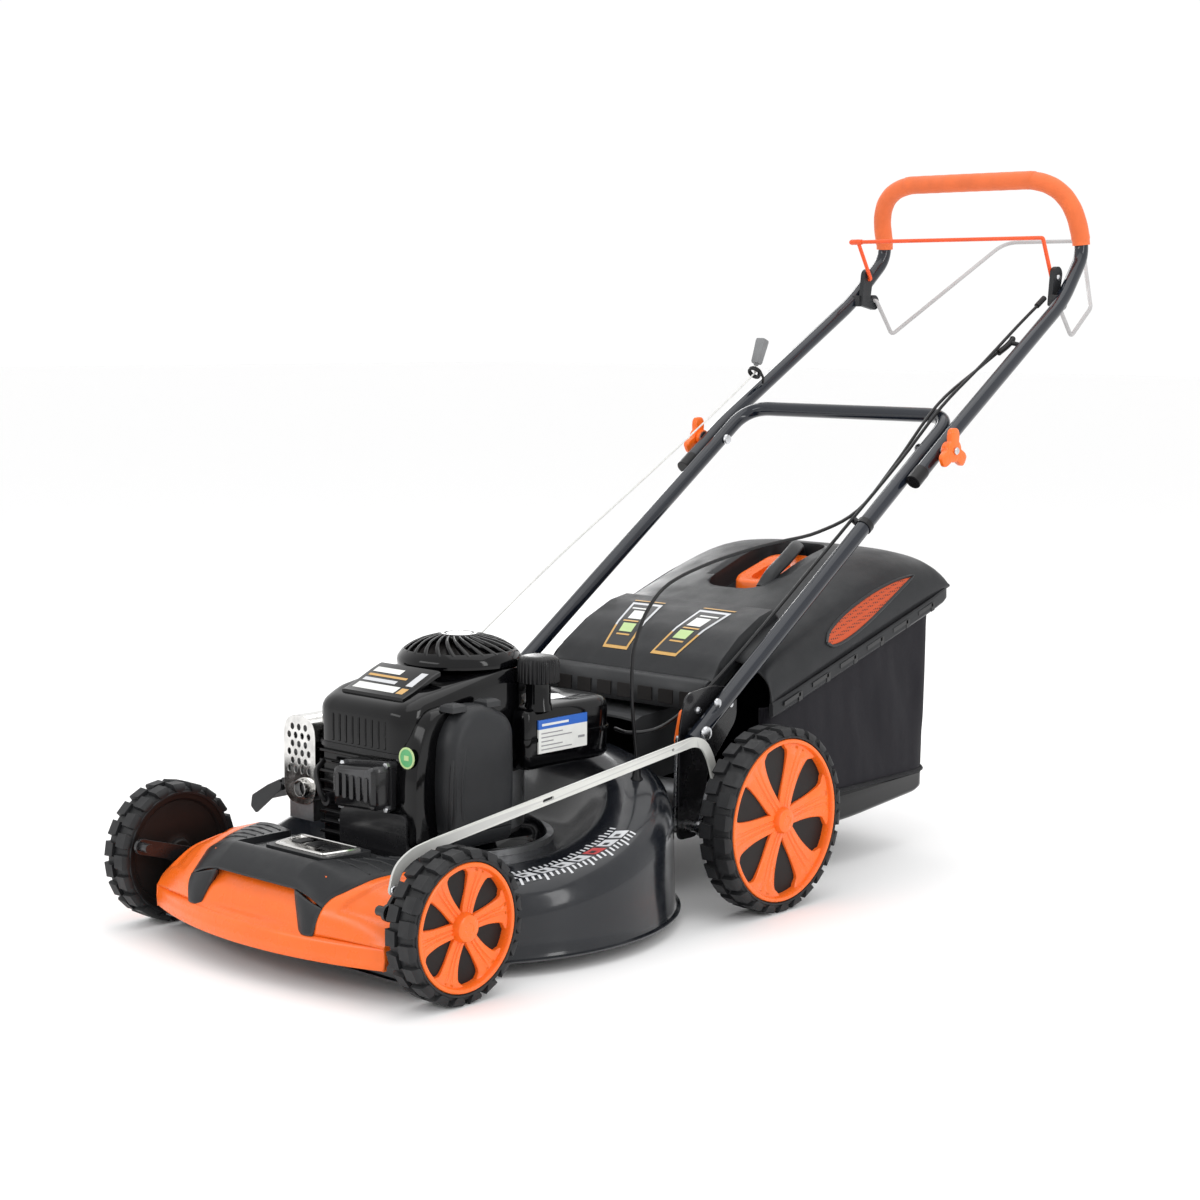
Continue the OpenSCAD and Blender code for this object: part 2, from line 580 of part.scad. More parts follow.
module drive_cable() color(gloss_black) from_front() tube(drive_route, 2.5, 8, [1, 0, 0]);
module starter_rope() color("white") from_front() tube(rope_route, 1.5, 8, [1, 0, 0]);
module starter_grip() color(steel) from_front() translate([-206, 1122, 706]) rotate([-22, 0, 0]) {
    cylinder(h = 26, r = 7, $fn = 40);
    translate([-11, -8, 24]) cube([22, 16, 18]);
}

deck();
bumper();
carry_trim();
handle_brackets();
lower_handle();
handle_bolts();
rear_chute();
flap_rod();
front_axle();
front_left_tyre();
front_left_wheel();
front_right_tyre();
front_right_wheel();
rear_axle();
gearbox();
gearbox_pulley();
height_lever();
link_bar();
rear_left_tyre();
rear_left_wheel();
rear_right_tyre();
rear_right_wheel();
engine_block();
rocker_cover();
spark_plug();
carburettor();
air_filter_base();
air_filter_element();
air_filter_cover();
blower_housing();
starter_cover();
starter_pulley();
muffler();
muffler_guard();
fuel_tank();
fuel_cap();
crankshaft();
flywheel();
crank_pulley();
blade();
blade_bolt();
drive_belt();
rear_flap();
side_deflector();
bag_lid();
bag_insert();
bag_fabric();
bag_tray();
upper_handle();
foam_grip();
bail_brackets();
rope_guide();
left_knob();
right_knob();
engine_brake_bail();
drive_bail();
brake_cable();
drive_cable();
starter_rope();
starter_grip();
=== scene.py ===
import json
import math

import bmesh
import bpy
from mathutils import Matrix, Vector, noise


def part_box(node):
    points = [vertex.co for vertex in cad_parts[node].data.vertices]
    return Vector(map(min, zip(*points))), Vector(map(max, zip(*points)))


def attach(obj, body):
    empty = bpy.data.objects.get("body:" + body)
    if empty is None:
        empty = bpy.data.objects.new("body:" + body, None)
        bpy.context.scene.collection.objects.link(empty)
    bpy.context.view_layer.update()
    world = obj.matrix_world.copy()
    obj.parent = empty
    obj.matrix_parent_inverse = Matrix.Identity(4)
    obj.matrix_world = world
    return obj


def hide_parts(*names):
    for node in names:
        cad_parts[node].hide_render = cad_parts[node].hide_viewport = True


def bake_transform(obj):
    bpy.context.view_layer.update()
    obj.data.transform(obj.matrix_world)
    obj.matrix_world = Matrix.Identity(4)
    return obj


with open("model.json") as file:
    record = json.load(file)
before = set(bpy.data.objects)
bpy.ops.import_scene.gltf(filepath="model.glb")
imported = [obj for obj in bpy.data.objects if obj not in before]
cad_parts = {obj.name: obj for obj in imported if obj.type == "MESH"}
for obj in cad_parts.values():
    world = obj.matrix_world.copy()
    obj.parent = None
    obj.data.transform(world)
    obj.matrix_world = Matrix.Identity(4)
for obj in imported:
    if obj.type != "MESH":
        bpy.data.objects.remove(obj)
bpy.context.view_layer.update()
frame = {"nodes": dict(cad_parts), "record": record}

# All sizes below are in millimetres: x to the operator's left, d backwards from the
# front wheel axis, z up. point() turns them into the frame's metres.
wheel_low, wheel_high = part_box("front_left_tyre")
AXIS_Y = (wheel_low.y + wheel_high.y) * 500
FRONT_R = (wheel_high.z - wheel_low.z) * 500
FRONT_W = (wheel_high.x - wheel_low.x) * 1000
FRONT_X = wheel_low.x * 1000
rear_low, rear_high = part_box("rear_left_tyre")
REAR_R = (rear_high.z - rear_low.z) * 500
REAR_W = (rear_high.x - rear_low.x) * 1000
REAR_X = rear_low.x * 1000
WHEELBASE = (rear_low.y + rear_high.y) * 500 - AXIS_Y
shaft_low, shaft_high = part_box("crankshaft")
SHAFT_D = (shaft_low.y + shaft_high.y) * 500 - AXIS_Y
DECK_R = 281
DECK_TOP = 106
TUBE_R = 11
FOLD = (1020, 589)


def point(x, d, z):
    """The place in the frame, in metres."""
    return Vector((x, d + AXIS_Y, z)) / 1000


def clamp(t, low=0.0, high=1.0):
    return max(low, min(high, t))


def ease(t):
    t = clamp(t)
    return t * t * (3 - 2 * t)


def new_object(name, data):
    obj = bpy.data.objects.new(name, data)
    bpy.context.scene.collection.objects.link(obj)
    return obj


# ---- camera, floor and light ----

def camera():
    data = bpy.data.cameras.new("camera")
    data.lens = 67.37
    data.sensor_width = 36
    data.shift_x = -0.0037
    data.shift_y = -0.0075
    data.clip_end = 50
    cam = new_object("camera", data)
    yaw, pitch, roll = (math.radians(a) for a in (42.394, 6.791, 0.397))
    forward = Vector((-math.sin(yaw) * math.cos(pitch), math.cos(yaw) * math.cos(pitch), -math.sin(pitch)))
    right = forward.cross(Vector((0, 0, 1))).normalized()
    up = right.cross(forward)
    right, up = math.cos(roll) * right + math.sin(roll) * up, math.cos(roll) * up - math.sin(roll) * right
    turn = Matrix((right, up, -forward)).transposed()
    cam.matrix_world = Matrix.Translation((2.0631, -2.495, 0.7685)) @ turn.to_4x4()
    bpy.context.scene.camera = cam


def area_light(name, place, target, size, watts):
    data = bpy.data.lights.new(name, "AREA")
    data.shape = "RECTANGLE"
    data.size, data.size_y = size
    data.energy = watts
    light = new_object(name, data)
    light.location = place
    light.rotation_euler = (Vector(target) - Vector(place)).to_track_quat("-Z", "Y").to_euler()


def studio():
    world = bpy.data.worlds.new("studio")
    bpy.context.scene.world = world
    world.use_nodes = True
    back = world.node_tree.nodes["Background"]
    back.inputs["Color"].default_value = (1.0, 1.0, 1.0, 1)
    back.inputs["Strength"].default_value = 1.02
    area_light("overhead", (0.2, 0.2, 3.2), (0, 0, 0.3), (3.2, 2.6), 26)
    area_light("left_softbox", (3.0, -0.2, 1.7), (0, 0, 0.4), (0.5, 2.4), 22)
    area_light("front_softbox", (-0.8, -3.2, 1.9), (0, 0, 0.4), (2.2, 0.7), 16)
    area_light("rear_strip", (-2.4, 1.8, 1.6), (0, 0, 0.5), (0.4, 2.0), 12)
    bpy.context.scene.view_settings.view_transform = "Standard"


def floor():
    size = 30
    mesh = bpy.data.meshes.new("floor")
    corners = [(-size, -size, 0), (size, -size, 0), (size, size, 0), (-size, size, 0)]
    mesh.from_pydata(corners, [], [(0, 1, 2, 3)])
    new_object("floor", mesh)
    paint = bpy.data.materials.new("floor")
    paint.use_nodes = True
    shader = paint.node_tree.nodes["Principled BSDF"]
    shader.inputs["Base Color"].default_value = (0.97, 0.968, 0.968, 1)
    shader.inputs["Roughness"].default_value = 0.6
    mesh.materials.append(paint)


camera()
studio()
floor()


# ---- materials ----

class Paint:
    """A node material on object coordinates: colour that varies, roughness, bump and wear."""

    def __init__(self, name, colour, roughness, metallic=0.0, coat=0.0, sheen=0.0, specular=0.5):
        self.made = bpy.data.materials.new(name)
        self.made.use_nodes = True
        self.nodes = self.made.node_tree.nodes
        self.links = self.made.node_tree.links
        self.shader = self.nodes["Principled BSDF"]
        self.shader.inputs["Metallic"].default_value = metallic
        self.shader.inputs["Coat Weight"].default_value = coat
        self.shader.inputs["Coat Roughness"].default_value = 0.08
        self.shader.inputs["Sheen Weight"].default_value = sheen
        self.shader.inputs["Specular IOR Level"].default_value = specular
        self.place = self.nodes.new("ShaderNodeTexCoord").outputs["Object"]
        self.set_colour(colour)
        self.shader.inputs["Roughness"].default_value = roughness
        self.roughness = roughness
        self.height = None

    def node(self, kind, **values):
        made = self.nodes.new(kind)
        for name, value in values.items():
            if name in made.inputs:
                made.inputs[name].default_value = value
            else:
                setattr(made, name, value)
        return made

    def set_colour(self, colour):
        self.colour = tuple(colour) + (1,)
        self.shader.inputs["Base Color"].default_value = self.colour
        self.colour_out = None

    def noise(self, scale, detail=4.0):
        made = self.node("ShaderNodeTexNoise", Scale=scale, Detail=detail, Roughness=0.6)
        self.links.new(self.place, made.inputs["Vector"])
        return made.outputs["Fac"]

    def mask(self, value, low, high):
        made = self.node("ShaderNodeMapRange", interpolation_type="SMOOTHSTEP")
        made.inputs["From Min"].default_value = low
        made.inputs["From Max"].default_value = high
        self.links.new(value, made.inputs["Value"])
        return made.outputs["Result"]

    def mix(self, mask, other):
        """Paints the colour other where mask is 1."""
        made = self.node("ShaderNodeMix", data_type="RGBA")
        if self.colour_out is None:
            made.inputs[6].default_value = self.colour
        else:
            self.links.new(self.colour_out, made.inputs[6])
        made.inputs[7].default_value = tuple(other) + (1,)
        self.links.new(mask, made.inputs[0])
        self.colour_out = made.outputs[2]
        self.links.new(self.colour_out, self.shader.inputs["Base Color"])
        return self

    def times(self, value, other):
        """The product of a node's output and another output or a number."""
        made = self.node("ShaderNodeMath", operation="MULTIPLY")
        self.links.new(value, made.inputs[0])
        if isinstance(other, (int, float)):
            made.inputs[1].default_value = other
        else:
            self.links.new(other, made.inputs[1])
        return made.outputs[0]

    def vary(self, scale, amount):
        """Cloudy change of colour, amount darker at most."""
        dark = [c * (1 - amount) for c in self.colour[:3]]
        return self.mix(self.mask(self.noise(scale), 0.35, 0.7), dark)

    def dust(self, amount, colour=(0.30, 0.29, 0.27)):
        """Pale dust in blotches, thicker on faces that look up."""
        up = self.node("ShaderNodeSeparateXYZ")
        self.links.new(self.node("ShaderNodeNewGeometry").outputs["Normal"], up.inputs[0])
        blotches = self.mask(self.noise(45, 6.0), 0.42, 0.75)
        both = self.times(self.mask(up.outputs["Z"], -0.2, 1.0), blotches)
        return self.mix(self.times(both, amount), colour)

    def worn(self, colour, low=0.53, high=0.6, amount=0.5):
        """Edges that stand proud are rubbed to colour."""
        edge = self.mask(self.node("ShaderNodeNewGeometry").outputs["Pointiness"], low, high)
        return self.mix(self.times(edge, amount), colour)

    def smudge(self, scale, amount):
        """Roughness that changes by up to amount either way."""
        made = self.node("ShaderNodeMapRange")
        made.inputs["From Min"].default_value = 0.3
        made.inputs["From Max"].default_value = 0.7
        made.inputs["To Min"].default_value = max(self.roughness - amount, 0.02)
        made.inputs["To Max"].default_value = self.roughness + amount
        self.links.new(self.noise(scale, 3.0), made.inputs["Value"])
        self.links.new(made.outputs["Result"], self.shader.inputs["Roughness"])
        return self

    def raise_by(self, value, depth_mm):
        """Adds a bump of that depth over the bumps before it."""
        made = self.node("ShaderNodeBump", Strength=1.0, Distance=depth_mm / 1000)
        self.links.new(value, made.inputs["Height"])
        if self.height is not None:
            self.links.new(self.height, made.inputs["Normal"])
        self.height = made.outputs["Normal"]
        self.links.new(self.height, self.shader.inputs["Normal"])
        return self

    def grain(self, scale, depth_mm, detail=2.0):
        return self.raise_by(self.noise(scale, detail), depth_mm)

    def cells(self, scale, depth_mm):
        made = self.node("ShaderNodeTexVoronoi", Scale=scale)
        self.links.new(self.place, made.inputs["Vector"])
        return self.raise_by(made.outputs["Distance"], depth_mm)

    def waves(self, direction, scale, distortion=0.0):
        made = self.node("ShaderNodeTexWave", Scale=scale, Distortion=distortion, bands_direction=direction)
        self.links.new(self.place, made.inputs["Vector"])
        return made.outputs["Fac"]


def deck_paint():
    p = Paint("deck_paint", (0.008, 0.0095, 0.013), 0.20, coat=0.3, specular=0.3)
    p.vary(7, 0.25).grain(700, 0.006).grain(90, 0.03).smudge(30, 0.07).dust(0.015)
    return p.worn((0.2, 0.2, 0.21), amount=0.3).made


def orange_plastic():
    p = Paint("orange_plastic", (0.94, 0.155, 0.012), 0.28, specular=0.5)
    return p.vary(9, 0.10).grain(1500, 0.012).smudge(40, 0.06).dust(0.05).made


def dark_plastic():
    p = Paint("dark_plastic", (0.017, 0.018, 0.020), 0.42, specular=0.3)
    p.vary(12, 0.2).grain(2200, 0.06).smudge(25, 0.08).dust(0.02)
    return p.worn((0.12, 0.122, 0.125), amount=0.25).made


def black_plastic():
    p = Paint("black_plastic", (0.002, 0.002, 0.0025), 0.10, coat=0.12, specular=0.22)
    return p.vary(10, 0.3).grain(400, 0.012).smudge(35, 0.04).dust(0.01).made


def satin_black():
    p = Paint("satin_black", (0.008, 0.008, 0.009), 0.32, specular=0.3)
    return p.vary(14, 0.3).grain(1800, 0.04).smudge(30, 0.08).dust(0.015).made


def tube_paint():
    p = Paint("tube_paint", (0.006, 0.009, 0.016), 0.16, coat=0.4, specular=0.35)
    return p.vary(8, 0.2).grain(500, 0.02).smudge(20, 0.05).dust(0.01).made


def black_paint():
    p = Paint("black_paint", (0.004, 0.004, 0.005), 0.24, coat=0.25, specular=0.3)
    p.vary(15, 0.3).grain(500, 0.03).smudge(40, 0.06).dust(0.015)
    return p.worn((0.2, 0.2, 0.21), amount=0.25).made


def zinc():
    p = Paint("zinc", (0.68, 0.69, 0.71), 0.27, metallic=1.0)
    return p.vary(60, 0.2).raise_by(p.waves("Z", 260, 3), 0.01).smudge(120, 0.08).made


def bright_metal():
    p = Paint("bright_metal", (0.78, 0.77, 0.75), 0.17, metallic=1.0)
    return p.vary(50, 0.25).grain(160, 0.05).smudge(70, 0.09).made


def cast_alloy():
    p = Paint("cast_alloy", (0.36, 0.365, 0.375), 0.46, metallic=1.0)
    return p.vary(30, 0.3).grain(700, 0.12, 5.0).smudge(60, 0.1).made


def tyre_rubber():
    p = Paint("tyre_rubber", (0.014, 0.0145, 0.016), 0.55, specular=0.35)
    return p.vary(20, 0.25).grain(900, 0.06).grain(120, 0.10).smudge(50, 0.1).dust(0.04).made


def bar_paint():
    p = Paint("bar_paint", (0.66, 0.665, 0.63), 0.34)
    p.vary(18, 0.07).grain(600, 0.02).smudge(30, 0.06).dust(0.08, (0.4, 0.38, 0.34))
    return p.worn((0.4, 0.4, 0.4)).made


def bag_cloth():
    p = Paint("bag_cloth", (0.010, 0.009, 0.013), 0.80, sheen=0.05, specular=0.2)
    warp = p.waves("Y", 210, 0.6)
    weft = p.waves("Z", 210, 0.6)
    p.mix(p.mask(warp, 0.6, 1.0), (0.016, 0.015, 0.020))
    p.mix(p.mask(weft, 0.75, 1.0), (0.006, 0.0055, 0.008))
    return p.raise_by(warp, 0.25).raise_by(weft, 0.25).grain(35, 0.5).dust(0.02).made


def seam_tape():
    p = Paint("seam_tape", (0.009, 0.009, 0.011), 0.7, sheen=0.05, specular=0.2)
    return p.raise_by(p.waves("DIAGONAL", 330), 0.3).dust(0.02).made


def vent_mesh():
    p = Paint("vent_mesh", (0.50, 0.06, 0.006), 0.5)
    made = p.node("ShaderNodeTexVoronoi", Scale=240, feature="F1", distance="CHEBYCHEV", Randomness=0.0)
    p.links.new(p.place, made.inputs["Vector"])
    # Painted shade: the mesh's holes are coloured dark, for the shade behind them.
    hole = p.mask(made.outputs["Distance"], 0.30, 0.22)
    p.mix(hole, (0.05, 0.008, 0.002))
    return p.raise_by(made.outputs["Distance"], 0.6).made


def foam():
    p = Paint("foam", (0.80, 0.155, 0.035), 0.72, sheen=0.15)
    return p.vary(25, 0.12).cells(900, 0.25).grain(120, 0.25).dust(0.08).made


def coated_wire():
    p = Paint("coated_wire", (0.90, 0.095, 0.014), 0.36)
    return p.vary(30, 0.12).grain(500, 0.03).made


def grey_plastic():
    p = Paint("grey_plastic", (0.20, 0.205, 0.21), 0.42)
    return p.vary(30, 0.15).grain(1500, 0.04).smudge(40, 0.08).made


def pale_wire():
    p = Paint("pale_wire", (0.46, 0.45, 0.45), 0.30)
    return p.vary(30, 0.10).grain(500, 0.03).made


def cable_sheath():
    p = Paint("cable_sheath", (0.006, 0.006, 0.007), 0.36, specular=0.35)
    return p.vary(40, 0.3).grain(900, 0.04).dust(0.015).made


def rope_cord():
    p = Paint("rope_cord", (0.80, 0.80, 0.77), 0.8, sheen=0.2)
    return p.raise_by(p.waves("DIAGONAL", 500, 1), 0.3).vary(120, 0.15).made


def filter_paper():
    p = Paint("filter_paper", (0.66, 0.58, 0.28), 0.9)
    return p.raise_by(p.waves("Y", 90), 0.8).vary(60, 0.15).made


def ceramic():
    p = Paint("ceramic", (0.86, 0.86, 0.82), 0.12, coat=0.6)
    return p.vary(80, 0.06).grain(300, 0.01).made


def belt_rubber():
    p = Paint("belt_rubber", (0.016, 0.016, 0.017), 0.7)
    return p.grain(900, 0.1).vary(60, 0.3).made


# Near-black paint that stands in for shade: the dark of hollows, slots and the insides of the wheels is
# painted with it.
def inner_dark():
    p = Paint("inner_dark", (0.010, 0.008, 0.0075), 0.5, specular=0.25)
    return p.vary(20, 0.3).grain(500, 0.05).dust(0.02).made


def flat_ink(name, colour):
    p = Paint(name, colour, 0.3)
    return p.vary(60, 0.06).grain(300, 0.01).made


PAINTS = {made.__name__: made() for made in (
    deck_paint, orange_plastic, dark_plastic, black_plastic, satin_black, tube_paint, black_paint, zinc,
    bright_metal, cast_alloy, tyre_rubber, bar_paint, bag_cloth, seam_tape, vent_mesh, foam, coated_wire,
    pale_wire, grey_plastic, cable_sheath, rope_cord, filter_paper, ceramic, belt_rubber, inner_dark)}
for ink, colour in {
        "silver": (0.62, 0.63, 0.65), "gold": (0.62, 0.36, 0.10), "white": (0.80, 0.81, 0.78),
        "green": (0.10, 0.42, 0.16), "pale_green": (0.50, 0.66, 0.30), "blue": (0.03, 0.14, 0.55),
        "red": (0.50, 0.05, 0.05), "grey": (0.30, 0.30, 0.31), "black": (0.015, 0.015, 0.016)}.items():
    PAINTS[f"decal_{ink}"] = flat_ink(f"decal_{ink}", colour)


def paint_frame():
    """Gives every CAD node the material of its slot in the record."""
    slots = {s["node"]: s["material_slot"] for s in frame["record"]["subparts"]}
    for name, node in frame["nodes"].items():
        node.data.materials.clear()
        node.data.materials.append(PAINTS[slots[name]])


paint_frame()


# ---- shapes ----

def ring_round(x, d, z, r, axis="x", steps=32, start=0.0, end=360.0):
    """Points of a circle or an arc square to an axis."""
    made = []
    count = steps if end - start >= 360 else steps + 1
    for i in range(count):
        a = math.radians(start + (end - start) * i / steps)
        u, v = r * math.cos(a), r * math.sin(a)
        made.append({"x": (x, d + u, z + v), "d": (x + u, d, z + v), "z": (x + u, d + v, z)}[axis])
    return made


def tangent(path, i):
    """Unit vector along the path at its point i."""
    return (path[min(i + 1, len(path) - 1)] - path[max(i - 1, 0)]).normalized()


def mirrored(p):
    return Vector((-p.x, p.y, p.z))


def corner(a, b, c, reach, steps):
    """Points of the smooth curve that takes the place of corner b and starts reach before it."""
    before, after = (a - b).normalized(), (c - b).normalized()
    return [b + reach * ((1 - i / steps) ** 2 * before + (i / steps) ** 2 * after) for i in range(steps + 1)]


def bounded(a, b, c, r):
    """The reach r, or less where the corner's neighbours are near."""
    return min(r, (a - b).length * 0.49, (c - b).length * 0.49)


def rounded(path, r, steps=6):
    """The path with each inner corner turned into a smooth curve that starts r before it."""
    path = [Vector(p) for p in path]
    made = [path[0]]
    for a, b, c in zip(path, path[1:], path[2:]):
        made += corner(a, b, c, bounded(a, b, c, r), steps)
    return made + [path[-1]]


def rounded_loop(path, r, steps=5):
    """A closed outline with round corners. r is one radius, or one for each corner."""
    path = [Vector(p) for p in path]
    sizes = r if isinstance(r, list) else [r] * len(path)
    made = []
    for i, b in enumerate(path):
        a, c = path[i - 1], path[(i + 1) % len(path)]
        made += corner(a, b, c, bounded(a, b, c, sizes[i]), steps)
    return [tuple(p) for p in made]


def bent(path, bends, steps=10):
    """The path with each inner corner curved over its own length."""
    path = [Vector(p) for p in path]
    made = [path[0]]
    for a, b, c, r in zip(path, path[1:], path[2:], bends):
        made += corner(a, b, c, r, steps)
    return made + [path[-1]]


def through(points, steps=6):
    """A smooth curve through every point."""
    points = [Vector(p) for p in points]
    ends = [2 * points[0] - points[1]] + points + [2 * points[-1] - points[-2]]
    made = []
    for a, b, c, e in zip(ends, ends[1:], ends[2:], ends[3:]):
        for i in range(steps):
            t = i / steps
            made.append(0.5 * (2 * b + (c - a) * t + (2 * a - 5 * b + 4 * c - e) * t ** 2
                               + (3 * b - a - 3 * c + e) * t ** 3))
    return made + [points[-1]]


def box_outline(low, high):
    return [(low[0], low[1]), (high[0], low[1]), (high[0], high[1]), (low[0], high[1])]


def round_box(low, high, r):
    return rounded_loop(box_outline(low, high), r)


class Shape:
    """Points in millimetres and faces, gathered before they become one mesh."""

    def __init__(self):
        self.points, self.faces, self.paints = [], [], []

    def add(self, points, faces, paint=0):
        start = len(self.points)
        self.points += [Vector(p) for p in points]
        self.faces += [[start + i for i in f] for f in faces]
        self.paints += [paint] * len(faces)
        return self

    def loft(self, rings, closed=True, caps=True, joined=False, paint=0):
        """Skin through rings of equal counts: closed round each ring, joined end to end."""
        count, size = len(rings), len(rings[0])
        faces = []
        for i in range(count if joined else count - 1):
            for k in range(size if closed else size - 1):
                a, b = i * size, (i + 1) % count * size
                q = (k + 1) % size
                faces.append((a + k, b + k, b + q, a + q))
        if caps and closed and not joined:
            faces += [tuple(range(size)), tuple(range((count - 1) * size, count * size))]
        return self.add([p for r in rings for p in r], faces, paint)

    def side(self, outline, x0, x1, paint=0):
        """A side view outline in d and z, from x0 to x1."""
        return self.loft([[(x, p[0], p[1]) for p in outline] for x in (x0, x1)], paint=paint)

    def plan(self, outline, z0, z1, paint=0):
        return self.loft([[(p[0], p[1], z) for p in outline] for z in (z0, z1)], paint=paint)

    def front(self, outline, d0, d1, paint=0):
        return self.loft([[(p[0], d, p[1]) for p in outline] for d in (d0, d1)], paint=paint)

    def block(self, low, high, paint=0):
        return self.plan(box_outline(low[:2], high[:2]), low[2], high[2], paint)

    def rod(self, start, end, r, paint=0, steps=20):
        return self.tube([start, end], r, steps, paint)

    def turned(self, profile, x, d, z, axis="x", steps=64, paint=0, joined=False):
        """A profile of (radius, distance along the axis) turned round the axis through x, d, z."""
        rings = []
        for r, along in profile:
            at = {"x": (x + along, d, z), "d": (x, d + along, z), "z": (x, d, z + along)}[axis]
            rings.append(ring_round(*at, max(r, 0.01), axis, steps))
        return self.loft(rings, joined=joined, paint=paint)

    def tube(self, path, r, sides=16, paint=0, squash=(1, 1)):
        """A tube round a path. r may be a list. squash gives the section's two scales."""
        path = [Vector(p) for p in path]
        radii = r if isinstance(r, (list, tuple)) else [r] * len(path)
        normal = Vector((1, 0.02, 0.01))
        rings = []
        for i, p in enumerate(path):
            t = tangent(path, i)
            if i == 0 and abs(t.x) > 0.9:
                normal = Vector((0.01, 0.02, 1))
            normal = (normal - normal.dot(t) * t).normalized()
            side = t.cross(normal)
            rings.append([p + radii[i] * (squash[0] * math.cos(a) * normal + squash[1] * math.sin(a) * side)
                          for a in (math.tau * k / sides for k in range(sides))])
        return self.loft(rings, paint=paint)

    def mirror(self):
        """Adds the mirror image in x."""
        start, count = len(self.points), len(self.faces)
        self.points += [mirrored(p) for p in self.points]
        self.faces += [[start + i for i in reversed(f)] for f in self.faces[:count]]
        self.paints += self.paints[:count]
        return self

    def flipped(self):
        """The mirror image in x alone."""
        self.points = [mirrored(p) for p in self.points]
        self.faces = [list(reversed(f)) for f in self.faces]
        return self

    def moved(self, change):
        """Every point put through a function of x, d and z."""
        self.points = [Vector(change(*p)) for p in self.points]
        return self


def plate(outer, holes, thick, place):
    """A flat plate with holes. place(u, v, w) puts its points, w from 0 to thick."""
    bm = bmesh.new()
    for loop in [outer] + holes:
        made = [bm.verts.new((p[0], p[1], 0)) for p in loop]
        for a, b in zip(made, made[1:] + made[:1]):
            bm.edges.new((a, b))
    bmesh.ops.triangle_fill(bm, use_beauty=True, use_dissolve=False, edges=bm.edges[:])
    flat = bm.faces[:]
    bmesh.ops.recalc_face_normals(bm, faces=flat)
    made = bmesh.ops.extrude_face_region(bm, geom=flat)
    for v in made["geom"]:
        if isinstance(v, bmesh.types.BMVert):
            v.co.z = thick
    bmesh.ops.dissolve_limit(bm, angle_limit=0.01, verts=bm.verts[:], edges=bm.edges[:])
    bm.verts.index_update()
    shape = Shape().add([place(*v.co) for v in bm.verts], [[v.index for v in f.verts] for f in bm.faces])
    bm.free()
    return shape


def new_mesh(name, shape, paints="", weld=False):
    """The shape as a mesh in metres, with its faces turned outwards."""
    mesh = bpy.data.meshes.new(name)
    mesh.from_pydata([point(*p) for p in shape.points], [], shape.faces)
    mesh.polygons.foreach_set("material_index", shape.paints)
    for paint in paints.split():
        mesh.materials.append(PAINTS[paint])
    bm = bmesh.new()
    bm.from_mesh(mesh)
    if weld:
        bmesh.ops.remove_doubles(bm, verts=bm.verts[:], dist=1e-5)
    bmesh.ops.recalc_face_normals(bm, faces=bm.faces[:])
    bm.to_mesh(mesh)
    bm.free()
    return mesh


def soften(obj, mm, segments=2, degrees=35):
    """Rounds the edges that are sharper than that angle."""
    made = obj.modifiers.new("soft_edges", "BEVEL")
    made.width = mm / 1000
    made.segments = segments
    made.limit_method = "ANGLE"
    made.angle_limit = math.radians(degrees)
    made.harden_normals = True


def thicken(obj, mm):
    """Gives a sheet its thickness, on the side away from its normals."""
    made = obj.modifiers.new("thick", "SOLIDIFY")
    made.thickness = mm / 1000
    made.offset = -1
    made.use_even_offset = True
    return obj


def piece(name, shape, paints, body, stands_for=None, bevel=0.0, segments=2, smooth=35,
          weld=False):
    """Makes the shape a mesh that rides on body. bevel is in millimetres, smooth in degrees."""
    mesh = new_mesh(name, shape, paints, weld)
    mesh.shade_smooth()
    obj = new_object(name, mesh)
    if bevel:
        soften(obj, bevel, segments, smooth)
    else:
        mesh.set_sharp_from_angle(angle=math.radians(smooth))
    if body:
        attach(obj, body)
    if stands_for:
        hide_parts(stands_for)
    return obj


def carve(obj, cutter):
    """Cuts a shape's space out of a piece."""
    tool = new_object("cutter", new_mesh("cutter", cutter))
    made = obj.modifiers.new("carve", "BOOLEAN")
    made.operation = "DIFFERENCE"
    made.solver = "EXACT"
    made.object = tool
    bpy.context.view_layer.objects.active = obj
    others = [m for m in obj.modifiers if m != made]
    for m in others:
        m.show_viewport = False
    bpy.context.view_layer.update()
    graph = bpy.context.evaluated_depsgraph_get()
    cut = bpy.data.meshes.new_from_object(obj.evaluated_get(graph))
    obj.modifiers.remove(made)
    for m in others:
        m.show_viewport = True
    obj.data = cut
    bpy.data.objects.remove(tool)


# ---- cords that the mower holds from end to end ----

BRAKE_ROUTE = [(184, 1340, 806), (182, 1280, 770), (182, 1180, 710), (180, 1080, 650), (178, 980, 574),
               (176, 870, 497), (174, 760, 421), (172, 680, 365), (166, 610, 314), (158, 548, 270),
               (148, 488, 240), (132, 446, 236), (104, 446, 238)]
DRIVE_ROUTE = [(184, 1250, 742), (176, 1180, 704), (172, 1080, 652), (170, 980, 570), (170, 889, 506),
               (168, 797, 480), (166, 715, 472), (165, 650, 466), (164, 559, 452), (162, 485, 432),
               (160, 447, 402), (158, 425, 362), (156, 421, 329), (154, 424, 277), (150, 437, 214),
               (150, 440, 186)]
ROPE_ROUTE = [(-30, 326, 360), (-72, 520, 446), (-118, 740, 536), (-162, 940, 618), (-203, 1108, 687),
              (-206, 1118, 694), (-206, 1122, 704)]
# Direction of the handle's legs
LEG = Vector((0, 589, 409.7)).normalized()


def held_cord(name, route, r, paint, node):
    """A cable or rope from the chassis to the upper handle, baked in place on no body."""
    made = piece(name, Shape().tube(through(route, 5), r, 12), paint, None, node)
    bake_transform(made)


held_cord("brake_cable_sheath", BRAKE_ROUTE, 2.5, "cable_sheath", "brake_cable")
held_cord("drive_cable_sheath", DRIVE_ROUTE, 2.5, "cable_sheath", "drive_cable")
held_cord("starter_rope_line", ROPE_ROUTE, 1.3, "rope_cord", "starter_rope")


# ---- wheels ----

